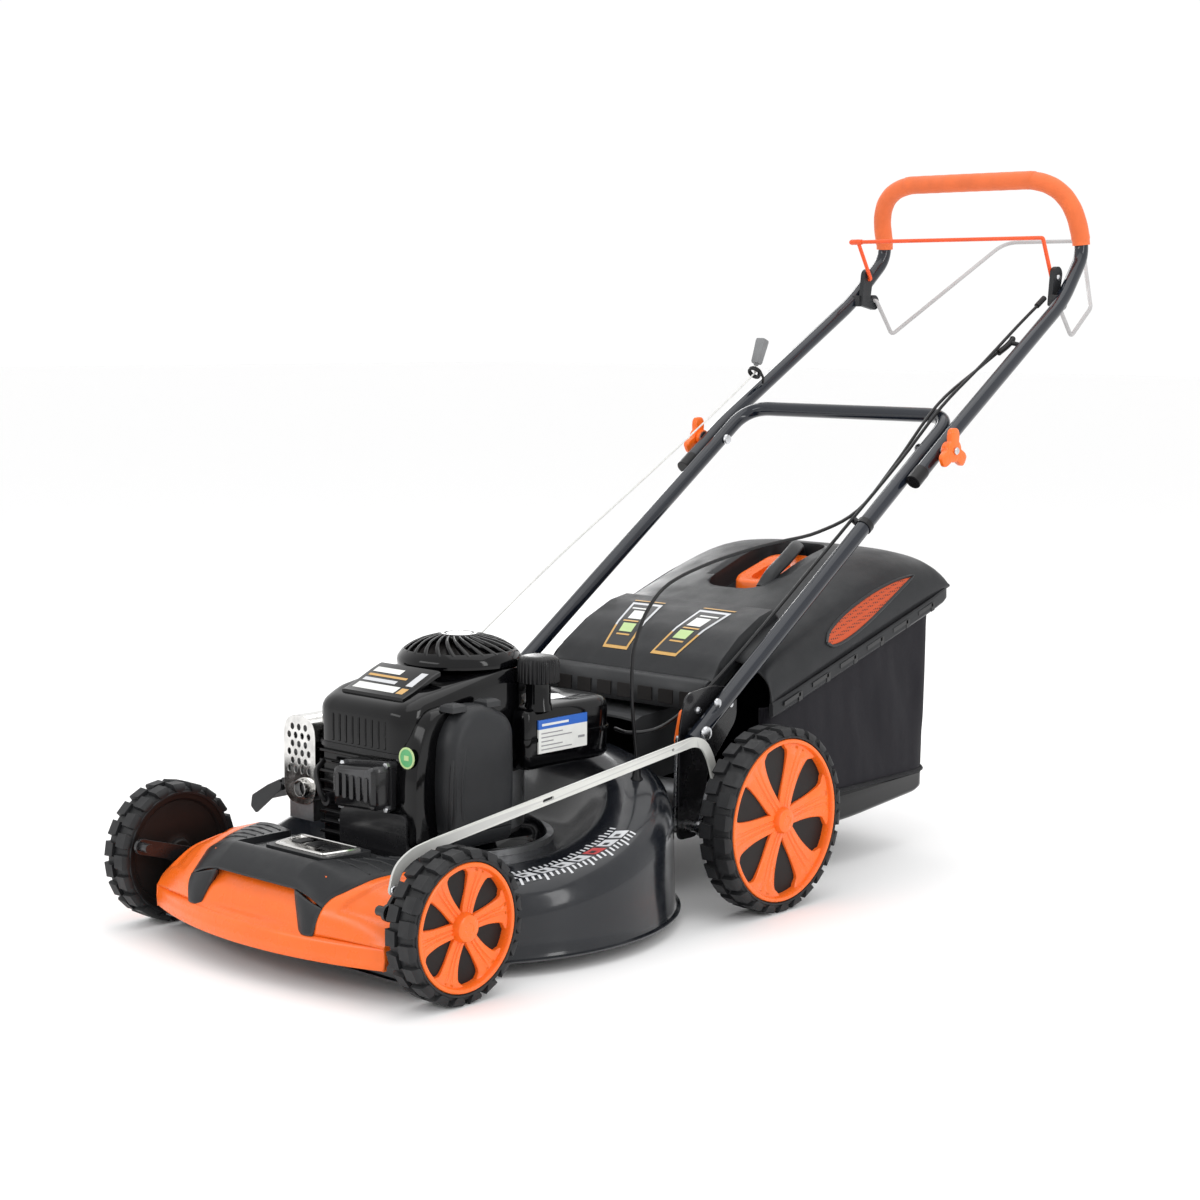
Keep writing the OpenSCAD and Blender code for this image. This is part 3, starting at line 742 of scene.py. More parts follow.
def tyre_shape(r, w, disc, lugs):
    shape = Shape()
    side = 1.6
    half = [(disc, 4), (disc + 1, 1.2), (disc + 3, 0.4), (disc + 4, side), (r - 14, side),
            (r - 8, side + 1.2), (r - 5.5, side + 5)]
    profile = half + [(radius, w - along) for radius, along in reversed(half)]
    shape.turned(profile, 0, 0, 0, steps=120, joined=True)
    pitch = 360 / lugs
    stations = [(0.9, disc + 3.5, 0.13), (0.0, disc + 5.5, 0.26), (0.0, r - 6, 0.31), (0.9, r - 3, 0.33),
                (4.0, r - 0.3, 0.34), (w * 0.44, r, 0.30)]
    for far in (0, 1):
        for i in range(lugs):
            middle = (i + far * 0.5) * pitch
            rings = []
            for along, radius, share in stations:
                sunk = min(radius, r - 7)
                inner = max(along, 5.0)
                corners = [(along, radius, -share), (along, radius, share), (inner, sunk, share * 1.15),
                           (inner, sunk, -share * 1.15)]
                ring = []
                for a, rho, turn in corners:
                    angle = math.radians(middle + turn * pitch)
                    ring.append((w - a if far else a, rho * math.cos(angle), rho * math.sin(angle)))
                rings.append(ring)
            shape.loft(rings)
    return shape


def hub_shape(w, disc, spokes):
    """Orange wheel face: rim, spokes that widen towards it, and the raised cap."""
    shape = Shape()
    rim = [(disc - 8, 7.5), (disc - 0.3, 7.5), (disc - 0.3, w - 2.4), (disc - 1, w - 0.8), (disc - 3, w),
           (disc - 5.4, w - 0.6), (disc - 7, w - 4), (disc - 8, w - 10)]
    shape.turned(rim, 0, 0, 0, steps=120, joined=True)
    start, end = 10, disc - 6
    across = [(-1, -9), (-0.97, -1.2), (-0.88, 0), (-0.34, 0.7), (-0.27, -0.5), (-0.16, -0.5), (-0.10, 0.8),
              (0.10, 0.8), (0.16, -0.5), (0.27, -0.5), (0.34, 0.7), (0.88, 0), (0.97, -1.2), (1, -9)]
    for k in range(spokes):
        rings = []
        for i in range(19):
            t = i / 18
            rho = start + (end - start) * t
            half = disc * (0.135 + 0.13 * t ** 3 + 0.12 * ease((t - 0.86) / 0.14))
            level = w - 4.5 - 4.5 * math.sin(math.pi * t ** 0.8) ** 0.8 - 1.5 * t
            fade = 1 if t < 0.82 else (1 - t) / 0.18
            ring = []
            for s, lift in across:
                up = lift if abs(s) > 0.9 else lift * fade
                angle = math.radians(k * 360 / spokes + 8) + math.atan2(s * half, rho)
                ring.append((level + up, rho * math.cos(angle), rho * math.sin(angle)))
            rings.append(ring)
        shape.loft(rings)
    cap = [(0, w + 1.8), (6, w + 1.7), (6.8, w + 2.5), (13, w + 2.1), (15.5, w + 0.8), (17, w - 3),
           (18.5, w - 9), (19, w - 14), (0, w - 14)]
    return shape.turned(cap, 0, 0, 0, steps=64)


def inner_shape(w, disc):
    """Dark disc behind the spokes, painted shade inside the wheel, and the plain cover with its boss on the
    inner side.
    """
    shape = Shape()
    shape.turned([(0, w - 17), (disc - 7.5, w - 17), (disc - 7.5, w - 13), (0, w - 13)], 0, 0, 0)
    cover = [(6.2, 0), (15, 0), (17, 1.5), (18, 5), (24, 6.5), (26, 6), (disc - 9, 7.5), (disc - 6, 4.2),
             (disc + 3, 2.6), (disc + 3, 5.5), (disc - 1, 7.2), (disc - 9, 11), (6.2, 11)]
    return shape.turned(cover, 0, 0, 0, steps=96, joined=True)


def wheel(side, end, r, w, x, lugs, disc_share):
    disc = disc_share * r
    d = 0 if end == "front" else WHEELBASE
    body = f"wheel_{end}_{side}"

    def placed(shape):
        shape.moved(lambda a, u, v: (x + a, d + u, r + v))
        return shape.flipped() if side == "right" else shape

    name = f"{end}_{side}"
    tyre, hub = placed(tyre_shape(r, w, disc, lugs)), placed(hub_shape(w, disc, 6))
    piece(f"{name}_tread", tyre, "tyre_rubber", body, f"{name}_tyre", bevel=0.7)
    piece(f"{name}_spokes", hub, "orange_plastic", body, f"{name}_wheel", bevel=0.5)
    # The dark disc paints the shade inside the wheel, seen between the spokes.
    piece(f"{name}_disc", placed(inner_shape(w, disc)), "inner_dark", body)


for side in ("left", "right"):
    wheel(side, "front", FRONT_R, FRONT_W, FRONT_X, 20, 0.84)
    wheel(side, "rear", REAR_R, REAR_W, REAR_X, 26, 0.88)


# ---- deck ----

def shoulder_height(a):
    return 104 + 100 * ((1 + math.sin(a)) / 2) ** 2.2


def rim_radius(a):
    s = math.sin(a)
    if s > -0.58:
        return DECK_R
    return max(DECK_R, min((SHAFT_D + 30) / -s, 226 / max(abs(math.cos(a)), 0.001)))


def deck_ring(a):
    """Section of the deck's sheet at angle a round the blade shaft, as (radius, height)."""
    r, z, m = rim_radius(a), shoulder_height(a), DECK_TOP
    bend, sheet = 42, 2.4
    outer = [(r + 7, 17.5), (r + 7.2, 19.2), (r + 1.5, 20.5), (r, 24), (r - 1.5, (z - bend + 24) / 2),
             (r - 3, z - bend)]
    outer += [(r - 3 - bend * (1 - math.cos(math.radians(b))), z - bend * (1 - math.sin(math.radians(b))))
              for b in (15, 30, 45, 60, 75)]
    outer += [(r - 62, z - 0.2), (r - 84, z - 1.5 - 0.04 * (z - m))]
    outer += [(191, m + 0.86 * (z - m)), (176, m + 0.55 * (z - m)), (162, m + 0.27 * (z - m)),
              (149, m + 0.09 * (z - m)), (136, m + 0.4), (128, m), (58, m)]
    inner = [(rad - (sheet if h < z - 1 and rad > 200 else 0), h - (sheet if rad <= r - 10 else 0))
             for rad, h in outer]
    return outer + inner[::-1]


def deck():
    rings = []
    steps = 144
    for i in range(steps):
        a = math.tau * i / steps
        rings.append([(rad * math.cos(a), SHAFT_D + rad * math.sin(a), h) for rad, h in deck_ring(a)])
    shell = piece("deck_shell", Shape().loft(rings, joined=True), "deck_paint", "chassis", "deck", smooth=50)
    carve(shell, Shape().block((-146, 480, 70), (118, 600, 186)))
    carve(shell, Shape().block((-300, 195, 34), (-262, 320, 80)))


def shoulder_point(a, r, lift):
    """A point on the deck's shoulder, lift above its sheet."""
    outer = deck_ring(a)[:20]
    for (r0, h0), (r1, h1) in zip(outer, outer[1:]):
        if r1 <= r <= r0:
            t = (r0 - r) / max(r0 - r1, 1e-6)
            return (r * math.cos(a), SHAFT_D + r * math.sin(a), h0 + (h1 - h0) * t + lift)
    return (r * math.cos(a), SHAFT_D + r * math.sin(a), DECK_TOP + lift)


def arc_patch(shape, a0, a1, r0, r1, lift=0.35, paint=0, steps=8, lean=0.0):
    """A thin patch on the shoulder between two angles and two radii."""
    rings = []
    for i in range(steps + 1):
        a = math.radians(a0 + (a1 - a0) * i / steps)
        low = a + math.radians(lean)
        rings.append([shoulder_point(a, r0, lift), shoulder_point((a + low) / 2, (r0 + r1) / 2, lift),
                      shoulder_point(low, r1, lift)])
    return shape.loft(rings, closed=False, paint=paint)


def deck_decal():
    """A scale band on the left shoulder: plain bars between ruler marks, with no letters."""
    band = Shape()
    for i in range(32):
        at = -42 + i * 1.85
        long = 4 if i % 4 == 0 else 0
        arc_patch(band, at, at + 0.75, 218 - long, 226, steps=1)
        arc_patch(band, at, at + 0.75, 246, 254 + long, steps=1)
    for i in range(9):
        at = -40 + i * 6.2
        arc_patch(band, at, at + 4.9, 228, 244, steps=4, lean=1.8, paint=1 if i == 6 else 0)
        arc_patch(band, at + 1.5, at + 3.2, 233, 239, lift=0.6, steps=2, lean=0.6, paint=2)
    piece("deck_decal", band, "decal_silver decal_red decal_black", "chassis")


deck()
deck_decal()


# ---- helpers for the parts above the deck ----

def along(points, count, steps=8):
    """count + 1 points evenly spaced on the smooth curve through points."""
    curve = through(points, steps)
    lengths = [0.0]
    for a, b in zip(curve, curve[1:]):
        lengths.append(lengths[-1] + (b - a).length)
    made = []
    k = 0
    for i in range(count + 1):
        want = lengths[-1] * i / count
        while k < len(curve) - 2 and lengths[k + 1] < want:
            k += 1
        made.append(curve[k].lerp(curve[k + 1], (want - lengths[k]) / max(lengths[k + 1] - lengths[k], 1e-6)))
    return made


def scaled(outline, centre, inset, reach):
    """The outline drawn in towards centre by about inset where it is reach away from it."""
    k = 1 - inset / reach
    return [tuple(c + (v - c) * k for v, c in zip(p, centre)) for p in outline]


def bolt(shape, x, d, z, r=7.0, height=4.0, paint=0):
    """A domed bolt head that faces the operator's left."""
    profile = [(r, 0), (r, height * 0.3), (r * 0.86, height * 0.7), (r * 0.5, height * 0.95), (0, height)]
    return shape.turned([(0, 0)] + profile, x, d, z, steps=28, paint=paint)


def strip(path, width, steps=10):
    """Outline of a bar of that width with round ends, along side view points."""
    path = [Vector(p) for p in path]
    left, right = [], []
    for i, p in enumerate(path):
        t = tangent(path, i)
        n = Vector((-t.y, t.x)) * width / 2
        left.append(p + n)
        right.append(p - n)

    def cap(centre, edge):
        start = math.atan2(edge.y - centre.y, edge.x - centre.x)
        return [centre + Vector((math.cos(a), math.sin(a))) * width / 2
                for a in (start - math.pi * k / steps for k in range(1, steps))]

    return [tuple(p) for p in left + cap(path[-1], left[-1]) + right[::-1] + cap(path[0], right[0])]


def circle(x, y, r, steps=28):
    angles = (math.tau * i / steps for i in range(steps))
    return [(x + r * math.cos(a), y + r * math.sin(a)) for a in angles]


# ---- bumper and carry trim ----

# Where the dark trim meets the orange bumper on the operator's left, from the foot of its leg backwards
TRIM_EDGE = [(116, -83, 66), (120, -81, 84), (122, -74, 97), (125, -62, 107), (132, -49, 113),
             (139, -35, 119), (143, -14, 124), (150, 5, 127), (160, 34, 129), (176, 76, 128)]
WING_OUT = [(212, -61, 64), (212, -47, 80), (213, -10, 100), (213, 20, 107), (215, 76, 116)]
WING_LOW = [(212, -61, 37), (212, -38, 58), (213, 10, 84), (215, 76, 104)]
# The trim's crest from the carry bar's lower front edge backwards
TRIM_CREST = [(73, -74, 111), (72, -70, 121), (71, -63, 129), (72, -55, 135), (74, -47, 139),
              (76, -38, 139.5), (80, -16, 138), (86, 6, 136), (93, 34, 134), (101, 64, 131)]
LEG_IN = [(73, -74, 111), (78, -77, 98), (86, -81, 80), (92, -84, 65)]
LEG_OUT = [(122, -74, 97), (121, -79, 88), (119, -82, 77), (116, -84, 65)]


def front_edge(x):
    """How far forward the bumper's front comes at x."""
    return 480 - math.sqrt(581 ** 2 - x * x)


def wing():
    """The sculpted top of one end of the bumper, with its recessed panel and outer wall."""
    length, across = 48, 32
    inner, outer = along(TRIM_EDGE, length), along(WING_OUT, length)
    rows = []
    for i, (a, b) in enumerate(zip(inner, outer)):
        t = i / length
        forward = Vector((0, -0.75 + 0.5 * t, 0.66 + 0.3 * t))
        row = []
        for k in range(across + 1):
            s = k / across
            panel = ease((s - 0.20 - 0.25 * (0.5 - t) ** 2) / 0.06) * ease((0.90 - s) / 0.05)
            panel *= ease((t - 0.16) / 0.05) * ease((0.80 - t) / 0.05)
            crown = 8.0 * math.sin(math.pi * s) ** 0.8 * math.sin(math.pi * clamp(t * 0.9 + 0.08))
            row.append(a.lerp(b, s) + forward * (crown - 4.5 * panel))
        rows.append(row)
    shape = Shape().loft(rows, closed=False)
    wall = [[a, a.lerp(b, 0.5) + Vector((1.2, 0, 0)), b] for a, b in zip(outer, along(WING_LOW, length))]
    return shape.loft(wall, closed=False).mirror()


def bumper():
    skin = piece("bumper_wings", wing(), "orange_plastic", "chassis", "bumper", smooth=50, weld=True)
    thicken(skin, 3)
    middle = []
    for i in range(31):
        x = -104 + 208 * i / 30
        y = front_edge(x)
        line = [(y + 5, 64.5), (min(y + 10, -84), 68.5), (-82, 73), (-79.5, 81), (-76, 90), (-69, 99),
                (-62, 108), (-57, 118), (-52, 128)]
        middle.append(through([(x, *p) for p in line], 3))
    thicken(piece("bumper_middle", Shape().loft(middle, closed=False), "orange_plastic", "chassis"), 2)
    section = ((1.5, 37), (0, 40), (0, 52), (0.8, 53), (0.8, 59), (2.4, 63), (6, 65.4), (10, 66), (10, 61),
               (5, 58), (5, 37))
    lip = []
    for i in range(49):
        x = -212 + 424 * i / 48
        y = front_edge(x)
        lip.append([(x, y + back, z) for back, z in section])
    piece("bumper_lip", Shape().loft(lip), "orange_plastic", "chassis", bevel=0.5, smooth=40)


def carry_plate(crest, edge):
    """The broad top of the carry bar, which dips behind its front edge."""
    across = 8
    rows = []
    for c, e in zip(crest, edge):
        sunk = 8.0 * ease((c.y + 40) / 3)
        side = [e.lerp(c, k / across) + Vector((0, -0.3, 0.95)) * 3.2 * math.sin(math.pi * k / across)
                for k in range(across + 1)]
        floor = [c + Vector((-1.5, 0, -sunk))] + [Vector((x, c.y, c.z - sunk)) for x in (c.x / 2, 0)]
        half = side + floor
        rows.append(half + [mirrored(p) for p in reversed(half[:-1])])
    sheet = Shape().loft(rows, closed=False)
    thicken(piece("carry_plate", sheet, "dark_plastic", "chassis", "carry_trim", smooth=40), 3.4)


def carry_legs():
    bulge = [Vector((0, -3.0 * math.sin(math.pi * k / 6) - 1.0, 0)) for k in range(7)]
    legs = [[a.lerp(b, k / 6) + bulge[k] for k in range(7)]
            for a, b in zip(along(LEG_IN, 16), along(LEG_OUT, 16))]
    leg = Shape().loft(legs, closed=False).mirror()
    thicken(piece("carry_legs", leg, "dark_plastic", "chassis", smooth=50), 7)


def carry_ribs(crest, edge):
    ribs = Shape()
    for c, e in list(zip(crest, edge))[20:41:5]:
        low, high = e.lerp(c, 0.15), e.lerp(c, 0.92)
        top = low.lerp(high, 0.5) + Vector((0, 0, 3.4))
        ribs.tube([low + Vector((0, 0, 1)), top, high + Vector((0, 0, 0.8))], 1.5, 8)
    ribs.mirror()
    for x in (-60, 60):
        ribs.turned([(0, 0), (4.5, 0), (4.5, 1.4), (2.5, 1.4), (2.5, 0.4), (0, 0.4)], x, -22, 130, "z", 24)
    ribs.plan(rounded_loop([(-57, -14), (57, -14), (66, 54), (-66, 54)], 7), 122, 134)
    ribs.plan([(-96, 20), (96, 20), (108, 74), (-108, 74)], 112, 123)
    piece("carry_ribs", ribs, "dark_plastic", "chassis", bevel=0.8)


def badge():
    """A blank bright plate with three plain bars."""
    outline = rounded_loop([(-46, -8), (46, -8), (57, 46), (-57, 46)], 5)
    shape = Shape().loft([[(x, d, z) for x, d in scaled(outline, (0, 19), inset, 50)]
                          for z, inset in ((133, 0), (136, 0), (137.4, 1.4), (137.6, 5), (136.9, 6))])
    piece("badge_plate", shape, "bright_metal", "chassis")
    bars = Shape()
    for i in range(3):
        bars.block((-34 + 26 * i, 10, 136.6), (-16 + 26 * i, 30, 138.2))
    piece("badge_bars", bars, "satin_black", "chassis", bevel=0.5)


def carry_trim():
    length = 45
    crest, edge = along(TRIM_CREST, length), along(TRIM_EDGE[2:], length)
    carry_plate(crest, edge)
    carry_legs()
    carry_ribs(crest, edge)
    badge()


bumper()
carry_trim()


# ---- height adjuster, brackets and axles ----

# The arms' pivots and the link bar's pins, as d and z
FRONT_PIVOT, FRONT_PIN = (-69.98, 111), (-51.98, 132)
REAR_PIVOT = (WHEELBASE + FRONT_PIVOT[0], FRONT_PIVOT[1])
REAR_PIN = (REAR_PIVOT[0] + 18, REAR_PIVOT[1] + 54)


def front_arms():
    """The swinging arm and stub of each front wheel. The cross shaft runs hidden under the wings."""
    hub = (0, FRONT_R)
    arms = Shape().side(strip([FRONT_PIVOT, hub], 20), 228, 233).mirror()
    arms.rod((-232, *hub), (-FRONT_X - FRONT_W, *hub), 6).rod((232, *hub), (FRONT_X + FRONT_W, *hub), 6)
    arms.side(strip([FRONT_PIVOT, FRONT_PIN], 14), 228, 233)
    arms.rod((218, *FRONT_PIN), (229, *FRONT_PIN), 3)
    for sign in (-1, 1):
        arms.rod((sign * 214, *FRONT_PIVOT), (sign * 229, *FRONT_PIVOT), 6)
    piece("front_wheel_arms", arms, "black_paint", "front_carrier", "front_axle", bevel=0.6)


def round_part(node):
    """Centre and radius in plan of a pulley, in millimetres."""
    low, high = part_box(node)
    centre = Vector(((low.x + high.x) * 500, (low.y + high.y) * 500 - AXIS_Y))
    return centre, (high.x - low.x) * 500


def belt_loop(extra, steps=24):
    """Plan of a loop round the two pulleys, extra outside them, with points along its straight runs."""
    (a, ra), (b, rb) = round_part("crank_pulley"), round_part("gearbox_pulley")
    way = b - a
    heading = math.atan2(way.y, way.x)
    turn = math.acos((ra - rb) / way.length)
    loop = []
    for centre, r, start, end in ((a, ra + extra, heading + turn, heading + math.tau - turn),
                                  (b, rb + extra, heading - turn, heading + turn)):
        for i in range(steps + 1):
            angle = start + (end - start) * i / steps
            loop.append(centre + r * Vector((math.cos(angle), math.sin(angle))))
        if centre == a:
            far = b + (rb + extra) * Vector((math.cos(heading - turn), math.sin(heading - turn)))
            loop += [loop[-1].lerp(far, i / 16) for i in range(1, 16)]
    return loop + [loop[-1].lerp(loop[0], i / 16) for i in range(1, 16)]


def drive_belt():
    """The belt as a loop round the crank and gearbox pulleys, baked in place on no body."""
    low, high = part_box("drive_belt")
    z0, z1 = low.z * 1000, high.z * 1000
    rings = []
    for outer, inner in zip(belt_loop(5.6), belt_loop(0.4)):
        rings.append([(outer.x, outer.y, z0), (outer.x, outer.y, z1), (inner.x, inner.y, z1 - 0.8),
                      (inner.x, inner.y, z0 + 0.8)])
    belt = piece("drive_belt_loop", Shape().loft(rings, joined=True), "belt_rubber", None, "drive_belt")
    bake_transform(belt)


def side_plate(outline, holes, thick, x):
    """A flat plate with holes that stands upright, its inner face at x."""
    return plate(outline, holes, thick, lambda u, v, w: (x + w, u, v))


def link_bar():
    route = [FRONT_PIN, (-46, 154), (-24, 168), (8, 174), (472, 232), (492, 226), (506, 206), REAR_PIN]
    outline = strip(rounded(route, 16), 13)
    slot = strip([(192, 196.6), (207, 198.6)], 4.6)
    holes = [circle(*FRONT_PIN, 3.3), circle(*REAR_PIN, 3.3), slot, circle(430, 226.7, 2.4)]
    piece("link_bar_strip", side_plate(outline, holes, 3, 217), "bar_paint", "link", "link_bar", bevel=0.5)
    for end, pin in (("front", FRONT_PIN), ("rear", REAR_PIN)):
        piece(f"link_{end}_rivet", bolt(Shape(), 220.2, *pin, 5.4, 3), "zinc", f"{end}_carrier")


def handle_brackets():
    outline = rounded_loop([(486, 92), (528, 92), (548, 180), (606, 240), (606, 282), (556, 292), (500, 286),
                            (488, 240)], 12)
    holes = [circle(*REAR_PIVOT, 7.1), circle(592, 262, 4.3), circle(512, 236, 4.3), circle(560, 262, 5)]
    sides = side_plate(outline, holes, 3, 178).mirror()
    piece("bracket_plates", sides, "black_paint", "chassis", "handle_brackets", bevel=0.7)
    heads = Shape()
    heads.rod((174, 512, 236), (205, 512, 236), 4)
    bolt(heads, 205.2, 512, 236, 9.5, 5.5)
    bolt(heads, 204.4, 536, 273, 6.5, 4)
    bolt(heads, 181.2, 524, 262, 5, 3.2)
    heads.rod((177.8, 512, 236), (173.2, 512, 236), 7, steps=6)
    piece("bracket_bolts", heads.mirror(), "zinc", "chassis", "handle_bolts")


def height_lever():
    foot = REAR_PIVOT
    top, tip = (foot[0] + 4, foot[1] + 112), (foot[0] + 12, foot[1] + 143)
    piece("lever_arm", Shape().side(strip([foot, top], 20), 166, 170.5), "zinc", "rear_carrier", bevel=0.6)
    piece("lever_grip", Shape().side(strip([top, tip], 18), 161.5, 171.5), "orange_plastic", "rear_carrier",
          "height_lever", bevel=3, segments=4)


front_arms()
drive_belt()
link_bar()
handle_brackets()
height_lever()
for name in ("rear_axle", "gearbox", "rear_chute", "carburettor", "engine_block", "muffler"):
    soften(frame["nodes"][name], 0.8)


# ---- engine ----

def shroud_outline(inset):
    """Plan of the engine's shroud: square with round corners in front, half a circle behind."""
    r = 86 - inset
    front = 90 + inset
    turn = max(32 - 0.5 * inset, 2)
    loop = rounded_loop([(-r, SHAFT_D), (-r, front), (r, front), (r, SHAFT_D)], [0.01, turn, turn, 0.01])
    back = [(r * math.cos(a), SHAFT_D + r * math.sin(a)) for a in (math.pi * i / 24 for i in range(1, 24))]
    return loop + back


def shroud_top(d):
    """Height of the shroud's top: it slopes up from the front to the starter."""
    return 306 + 32 * ease((d - 96) / 100)


def shroud_foot(d):
    """The shroud's lower edge is raised in front, over the cylinder head."""
    return 205 + 38 * ease((150 - d) / 20)


def shroud():
    rings = []
    edge = 18
    for share in (0, 0.04, 0.5):
        rings.append([(x, d, shroud_foot(d) + (shroud_top(d) - edge - shroud_foot(d)) * share)
                      for x, d in shroud_outline(0)])
    for angle in range(0, 91, 15):
        a = math.radians(angle)
        inset = edge * (1 - math.cos(a))
        rings.append([(x, d, shroud_top(d) - edge * (1 - math.sin(a))) for x, d in shroud_outline(inset)])
    for inset in (28, 44, 60, 76):
        rings.append([(x, d, shroud_top(d)) for x, d in shroud_outline(inset)])
    piece("engine_shroud", Shape().loft(rings), "black_plastic", "chassis", "blower_housing", smooth=40)


def shroud_trim():
    """Upright ribs on the shroud's front face and the raised bed of its label."""
    trim = Shape()
    for i in range(9):
        x = -48 + 12 * i
        trim.loft([[(x - 2.4, 92, z), (x - 1.6, 89.2 + k, z), (x + 1.6, 89.2 + k, z), (x + 2.4, 92, z)]
                   for z, k in ((248, 2.5), (251, 0), (284, 0), (288, 2.5))])
    bed = ((-56, -2), (-56, 2.6), (-52, 4), (52, 4), (56, 2.6), (56, -2))
    trim.loft([[(x, d, shroud_top(d) + low) for x, low in bed] for d in (112, 115, 130, 145, 160, 172, 176)])
    piece("shroud_trim", trim, "black_plastic", "chassis", bevel=0.8)


def shroud_label():
    label = Shape()
    for x0, x1, d0, d1, paint in ((-46, 30, 120, 133, 0), (-46, 14, 137, 143, 1), (-46, 24, 147, 151, 2),
                                  (34, 46, 120, 132, 2), (34, 46, 137, 165, 1), (-46, 4, 155, 165, 0)):
        label.loft([[(x0, d, shroud_top(d) + 4.3), (x1, d, shroud_top(d) + 4.3)]
                    for d in (d0, (d0 + d1) / 2, d1)], closed=False, paint=paint)
    piece("shroud_label", label, "decal_white decal_silver decal_gold", "chassis")


def shroud_rim():
    """The raised band round the shroud's lower edge."""
    rings = [[(x, d, shroud_foot(d) + z) for x, d in shroud_outline(inset)]
             for z, inset in ((-2, 2), (-2, -1.6), (4, -1.6), (5, 2))]
    piece("shroud_rim", Shape().loft(rings, joined=True), "satin_black", "chassis")


def dome():
    """Slotted starter cover: a dark bowl, painted shade seen between the ribs, under slanted ribs that run
    from the rim to the cap.
    """
    profile = [(80, 336), (80.5, 341), (79, 346), (74, 352.5), (64, 360), (50, 366.5), (34, 371), (24, 373)]

    def level(r):
        for (r0, z0), (r1, z1) in zip(profile[3:], profile[4:]):
            if r1 <= r <= r0:
                return z0 + (z1 - z0) * (r0 - r) / (r0 - r1)
        return 373

    shape = Shape()
    # The bowl is painted shade: dark paint seen through the gaps between the ribs.
    bowl = [(72, 336), (72, 345), (60, 351), (44, 356), (24, 361), (0, 363)]
    shape.turned(bowl, 0, SHAFT_D, 0, "z", 72, paint=1)
    rim = [(74, 336)] + profile[:4] + [(71, 354.5), (70, 351), (71, 340)]
    shape.turned(rim, 0, SHAFT_D, 0, "z", 96, joined=True)
    cap = [(0, 366), (27, 365), (27, 371.2), (25, 373.2), (20, 373.6), (18.5, 372.6), (0, 372.6)]
    shape.turned(cap, 0, SHAFT_D, 0, "z", 64)
    section = [(-1, 6), (-1, 0.7), (-0.6, 0), (0.6, 0), (1, 0.7), (1, 6)]
    ribs, steps = 24, 8
    for i in range(ribs):
        rings = []
        for k in range(steps + 1):
            r = 24 + 50 * k / steps
            a = math.tau * i / ribs + math.radians(26) * k / steps
            t = Vector((-math.sin(a), math.cos(a)))
            half = 1.5 + 1.9 * k / steps
            at = Vector((math.cos(a), math.sin(a))) * r + Vector((0, SHAFT_D))
            rings.append([(at.x + s * half * t.x, at.y + s * half * t.y, level(r) - drop)
                          for s, drop in section])
        shape.loft(rings)
    piece("starter_dome", shape, "black_plastic inner_dark", "chassis", "starter_cover", smooth=50)
    disc = Shape().turned([(0, 372.8), (16.5, 372.8), (16.5, 373.4), (0, 373.6)], 0, SHAFT_D, 0, "z", 48)
    piece("starter_badge", disc, "decal_silver", "chassis")


def air_filter():
    arch = rounded_loop([(88, 135), (88, 236), (112, 296), (150, 304), (226, 296), (240, 236), (240, 130),
                         (150, 127)], [8, 60, 40, 30, 30, 40, 10, 10])
    rings = [[(x, d, z) for d, z in scaled(arch, (165, 215), inset, 80)]
             for x, inset in ((60, 8), (62, 3), (67, 0), (98, 0), (103, 3), (104, 8))]
    piece("filter_base", Shape().loft(rings), "black_plastic", "chassis", "air_filter_base", smooth=40)
    at = (90, 88.2, 246)
    sticker = Shape().turned([(0, 0), (13, 0), (13, -1.0), (0, -1.0)], *at, "d", 40, paint=1)
    sticker.turned([(11, 0), (13.3, 0), (13.3, -1.4), (11, -1.4)], *at, "d", 40, joined=True)
    sticker.block((86, 86.6, 243), (94, 87.6, 249))
    piece("filter_sticker", sticker, "decal_pale_green decal_green", "chassis")
    pleats = Shape().side(box_outline((136, 144), (222, 262)), 97, 100)
    for i in range(22):
        pleats.side(box_outline((136 + 4 * i, 146), (138 + 4 * i, 260)), 97, 112)
    piece("filter_pleats", pleats, "filter_paper", "chassis", "air_filter_element")


def filter_cover():
    outline = rounded_loop([(128, 127), (231, 127), (235, 200), (232, 284), (190, 305), (150, 302),
                            (124, 270), (119, 196)], [14, 8, 40, 18, 30, 34, 34, 60])
    steps = ((95, 5), (95, 0.6), (97, 0), (116, 0), (123, 1.8), (128.5, 5.4), (131.6, 11), (132.8, 18),
             (133.2, 40))
    rings = [[(x, *p) for p in scaled(outline, (174, 212), inset, 84)] for x, inset in steps]
    shell = Shape().loft(rings)
    shell = piece("filter_cover_shell", shell, "dark_plastic", "filter_cover", "air_filter_cover", smooth=40)
    carve(shell, Shape().block((90, 90, 149), (140, 250, 150.4)))
    ribs = Shape()
    for i in range(3):
        d = 125 + 7.5 * i
        path = [(119 + 3 * i, d + 5, 146), (127 + 2 * i, d, 172), (129.4 + i, d - 1, 205),
                (128 + 1.6 * i, d + 3, 240), (122 + 3.4 * i, d + 14, 272), (113 + 5.4 * i, d + 30, 292)]
        ribs.tube(through(path, 5), 2.8, 12)
    for d in (146, 204):
        ribs.loft([[(x0, d - w, z), (x1, d - w, z), (x1, d + w, z), (x0, d + w, z)]
                   for x0, x1, z, w in ((98, 122, 298, 12), (98, 122, 305, 12), (103, 117, 308, 8))])
    piece("filter_cover_ribs", ribs, "dark_plastic", "filter_cover", bevel=0.8)


